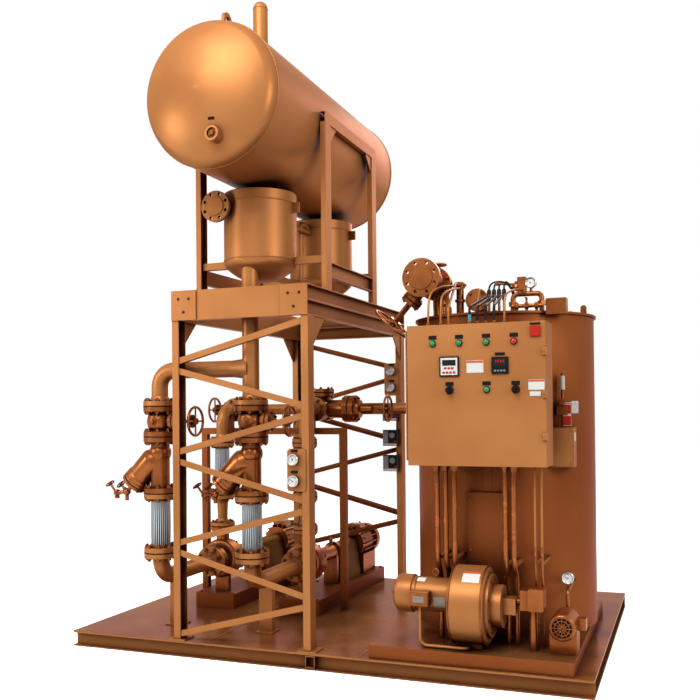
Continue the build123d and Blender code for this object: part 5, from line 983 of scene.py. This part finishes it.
# Tank top: the vent with its round cap, and a lifting lug with a long eye
lugValues = {"y": -1.330, "thick": 20 * mm, "low": 4.075, "high": 4.148, "outer": 52 * mm, "slotLow": 4.088,
             "slot": 25 * mm, "points": 48}
top = bmesh.new()
ventRadius, neck, rows = ventValues["radius"], ventValues["neck"], ventValues["rows"]
outline = [(0, ventValues["foot"]), (ventRadius, ventValues["foot"]), (ventRadius, neck)]
for i in range(1, rows):
    a = math.pi / 2 * i / rows
    outline.append((ventRadius * math.cos(a), neck + ventRadius * math.sin(a)))
outline.append((0, neck + ventRadius))
lathe(top, (tankX, ventValues["y"], 0), alongZ, outline)
ring(top, (tankX, ventValues["y"], neck), alongZ, ventRadius, ventValues["neckBead"])
points = lugValues["points"]
loops = []
for reach, low in ((lugValues["outer"], lugValues["low"]), (lugValues["slot"], lugValues["slotLow"])):
    for side in (-0.5, 0.5):
        loop = []
        for i in range(points):
            a = 2 * math.pi * (i + 0.5) / points
            middle = lugValues["high"] if math.sin(a) > 0 else low
            x = tankX + side * lugValues["thick"]
            y, z = lugValues["y"] + reach * math.cos(a), middle + reach * math.sin(a)
            loop.append(top.verts.new((x, y, z)))
        loops.append(loop)
for one, other in ((0, 1), (1, 3), (3, 2), (2, 0)):
    for i in range(points):
        top.faces.new((loops[one][i - 1], loops[one][i], loops[other][i], loops[other][i - 1]))
tankTop = piece("tankTopFittings", top, bronzePaint)
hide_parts("tank_top_fittings")

# Drain plug in the tank's front coupling, and the bare tag above it, both set on the head's own surface
plugValues = {"x": -0.365, "z": 3.305, "faceAside": 39 * mm, "sunk": 10 * mm, "square": 24 * mm,
              "squareHeight": 10 * mm, "outline": ((0, 0), (28.5, 0), (31.5, 3), (31.5, 18), (0, 18)),
              "tagAside": 12 * mm, "tagRise": 95 * mm, "tag": (40 * mm, 16 * mm, 2 * mm), "lookFrom": -3}
head = nodes["tank_front_head"]
x, z = plugValues["x"], plugValues["z"]
place, normal = head.ray_cast((x + plugValues["faceAside"], plugValues["lookFrom"], z), alongY)[1:3]
plug = bmesh.new()
face = place.y + plugValues["sunk"]
lathe(plug, (x, face, z), alongY, scaled(plugValues["outline"]))
square, squareHeight = plugValues["square"], plugValues["squareHeight"]
slab(plug, (x, face - squareHeight / 2, z), (square, squareHeight, square))
piece("drainPlug", plug, castPaint, bevel=1 * mm)
tagSpot = (x - plugValues["tagAside"], plugValues["lookFrom"], z + plugValues["tagRise"])
place, normal = head.ray_cast(tagSpot, alongY)[1:3]
turnTo = normal.to_track_quat("Z", "X").to_matrix().to_4x4() @ Matrix.Rotation(math.pi / 2, 4, "Z")
tag = bmesh.new()
slab(tag, place + normal * plugValues["tag"][2] / 2, plugValues["tag"], turnTo)
piece("drainTag", tag, blackPlastic)

# Bent tubes: painted ones to the cabinet's roof, conduits down to the plinth, capillaries, probe leads
roofTubes = {"radius": 7 * mm, "routes": (
    ((0.800, -0.352, 2.480), (0.790, -0.560, 2.470), (0.760, -0.900, 2.400), (0.750, -0.950, 2.300),
     (0.750, -0.950, 2.150)),
    ((0.826, -0.352, 2.470), (0.832, -0.600, 2.440), (0.834, -0.910, 2.370), (0.832, -0.950, 2.290),
     (0.832, -0.950, 2.150)),
    ((1.258, -0.460, 2.420), (1.258, -0.640, 2.410), (1.240, -0.920, 2.350), (1.235, -0.950, 2.280),
     (1.235, -0.950, 2.150)),
    ((0.960, -0.395, 2.440), (0.985, -0.520, 2.450), (1.010, -0.640, 2.390), (1.010, -0.690, 2.330),
     (1.010, -0.700, 2.258)))}
conduitRuns = {"radius": 17 * mm, "routes": tuple(
    ((x, -0.960, 0.800), (x, -0.960, 0.680), (x, -0.885, 0.600), (x, -0.880, 0.450), (x, -0.880, 0.188))
    for x in sheathValues["x"])}
edgeRuns = {"radius": 8.5 * mm, "routes": tuple(
    ((x, -0.960, 0.800), (x, -0.960, 0.600), (x, -0.905, 0.500), (x, -0.905, 0.188)) for x in (1.410, 1.450))}
roofCapillaries = {"radius": 4 * mm, "routes": tuple(
    ((0.690 + i * 0.022, -0.560, 2.405), (0.700 + i * 0.028, -0.640, 2.380),
     (0.712 + i * 0.030, -0.680, 2.320), (0.716 + i * 0.030, -0.690, 2.258)) for i in range(4))}
probeLeads = {"radius": 6 * mm, "routes": tuple(
    ((x, -0.450, 2.430), (x, -0.452, 2.478 + i * 0.006), (1.120 + i * 0.020, -0.456, 2.492 - i * 0.010),
     (1.190, -0.456, 2.452 - i * 0.012), (1.205, -0.450, 2.400 - i * 0.010)) for i, x in enumerate(probeX))}
for name, values, material in (
        ("roofTubes", roofTubes, bronzePaint), ("conduitRuns", conduitRuns, castPaint),
        ("edgeRuns", edgeRuns, castPaint), ("roofCapillaries", roofCapillaries, bronzePaint),
        ("probeLeads", probeLeads, blackRubber)):
    bentPipes(name, values["routes"], values["radius"], material)

# Roof fittings: glands on the cabinet, a domed cap, two unions, a round valve and a small manifold
glandValues = {"x": (1.018, 1.069, 1.120, 1.171, 0.882, 0.750, 0.832, 1.235), "y": -0.950, "z": 2.150,
               "hex": 17 * mm, "hexHeight": 16 * mm, "neck": 12 * mm, "neckHeight": 14 * mm}
domeValues = {"place": (0.810, -0.350, 2.486), "outline": ((0, 34), (26, 28), (46, 10), (50, 0), (0, 0))}
unionValues = {"x": (1.197, 1.387), "y": -0.450, "z": 2.315, "hex": 30 * mm, "height": 30 * mm}
roundValve = {"place": (1.222, -0.450, 2.416), "axis": (-1, 0, 0.1), "line": 9 * mm, "lineLength": 130 * mm,
              "lineStart": (1.222, -0.450, 2.462), "nut": 15 * mm, "nutLength": 22 * mm,
              "nutStart": (1.100, -0.450, 2.474),
              "outline": ((0, 0), (26, 6), (34, 26), (26, 46), (14, 52), (14, 66), (0, 66))}
manifoldValues = {"start": (1.205, -0.540, 2.306), "radius": 13 * mm, "length": 205 * mm,
                  "teeX": (1.225, 1.290, 1.355), "tee": 22 * mm, "teeLength": 24 * mm,
                  "legLow": 2.258, "leg": 9 * mm, "legLength": 50 * mm,
                  "stem": (1.302, -0.540, 2.320), "stemRadius": 7 * mm, "stemLength": 34 * mm,
                  "lever": ((1.302, -0.552, 2.357), (12 * mm, 70 * mm, 6 * mm))}
fittings = bmesh.new()
for x in glandValues["x"]:
    foot = Vector((x, glandValues["y"], glandValues["z"]))
    bar(fittings, foot, alongZ, glandValues["hex"], glandValues["hexHeight"], sides=6)
    bar(fittings, foot + Vector(alongZ) * glandValues["hexHeight"], alongZ, glandValues["neck"],
        glandValues["neckHeight"], sides=16)
lathe(fittings, domeValues["place"], alongZ, scaled(domeValues["outline"]))
for x in unionValues["x"]:
    foot = (x, unionValues["y"], unionValues["z"])
    bar(fittings, foot, alongZ, unionValues["hex"], unionValues["height"], sides=6)
lathe(fittings, roundValve["place"], alongZ, scaled(roundValve["outline"]))
bar(fittings, roundValve["lineStart"], roundValve["axis"], roundValve["line"], roundValve["lineLength"])
bar(fittings, roundValve["nutStart"], roundValve["axis"], roundValve["nut"], roundValve["nutLength"], sides=6)
bar(fittings, manifoldValues["start"], alongX, manifoldValues["radius"], manifoldValues["length"])
manifoldY, manifoldZ = manifoldValues["start"][1:]
for x in manifoldValues["teeX"]:
    tee = (x, manifoldY, manifoldZ)
    bar(fittings, tee, alongX, manifoldValues["tee"], manifoldValues["teeLength"], sides=6)
    leg = (x + manifoldValues["teeLength"] / 2, manifoldY, manifoldValues["legLow"])
    bar(fittings, leg, alongZ, manifoldValues["leg"], manifoldValues["legLength"])
bar(fittings, manifoldValues["stem"], alongZ, manifoldValues["stemRadius"], manifoldValues["stemLength"])
slab(fittings, *manifoldValues["lever"])

# Strainer blow-downs, in the same casting piece: a nipple, a small valve body, its stem and its wheel
blowDown = {"nipple": (-0.279, 0, 1.0686), "nippleAxis": (-1, 0, -0.12), "nippleRadius": 13 * mm,
            "nippleLength": 86 * mm, "body": (-0.362, 0, 1.020), "stem": (-0.374, 0, 1.064),
            "stemAxis": (-0.62, 0, 0.78), "stemRadius": 8 * mm, "stemLength": 76 * mm,
            "wheel": (-0.421, 0, 1.123), "wheelRadius": 30 * mm, "rim": 5 * mm, "wheelTilt": -0.67,
            "spokes": ((60 * mm, 8 * mm, 5 * mm), (8 * mm, 60 * mm, 5 * mm)),
            "outline": ((0, 0), (17, 0), (17, 16), (13, 20), (22, 26), (24, 40), (18, 58), (0, 64))}
for x in suctionValues["x"]:
    line = Vector((x, suctionValues["y"], 0))
    bar(fittings, line + Vector(blowDown["nipple"]), blowDown["nippleAxis"], blowDown["nippleRadius"],
        blowDown["nippleLength"])
    lathe(fittings, line + Vector(blowDown["body"]), alongZ, scaled(blowDown["outline"]), sides=20)
    bar(fittings, line + Vector(blowDown["stem"]), blowDown["stemAxis"], blowDown["stemRadius"],
        blowDown["stemLength"])
    hub = line + Vector(blowDown["wheel"])
    ring(fittings, hub, blowDown["stemAxis"], blowDown["wheelRadius"], blowDown["rim"], sides=28)
    for size in blowDown["spokes"]:
        slab(fittings, hub, size, Matrix.Rotation(blowDown["wheelTilt"], 4, "Y"))
piece("roofFittings", fittings, castPaint, bevel=1 * mm)

# Lead marker: a blue sleeve on the first gland's lead
markerValues = {"place": (1.018, -0.950, 2.182), "radius": 11 * mm, "length": 40 * mm}
sleeve = bmesh.new()
bar(sleeve, markerValues["place"], alongZ, markerValues["radius"], markerValues["length"])
piece("leadMarker", sleeve, blueSleeve)

# Equalising pipe between the two vessels
equalValues = {"radius": 24 * mm, "route": (
    (-0.470, -0.050, 3.035), (-0.480, -0.110, 3.060), (-0.490, -0.150, 3.060), (-0.490, -0.160, 2.980),
    (-0.490, -0.160, 2.800), (-0.490, -0.160, 2.640), (-0.490, -0.200, 2.590), (-0.490, -0.420, 2.590),
    (-0.490, -0.680, 2.590))}
bentPipes("equalisingPipe", [equalValues["route"]], equalValues["radius"], bronzePaint, roundness=6,
          caps=False)

# Blower motor hung on the blower's flange: rounded cowl, smooth body, end rings and terminal box
motor = bmesh.new()
lathe(motor, (motorValues["cowlEnd"], motorY, motorZ), alongX, scaled(motorValues["outline"]), sides=64)
for middle, size in motorValues["boxes"]:
    slab(motor, middle, size)
motorShell = piece("blowerMotorShell", motor, bronzePaint, bevel=3 * mm)
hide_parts("blower_motor")
print("fittings dressed")
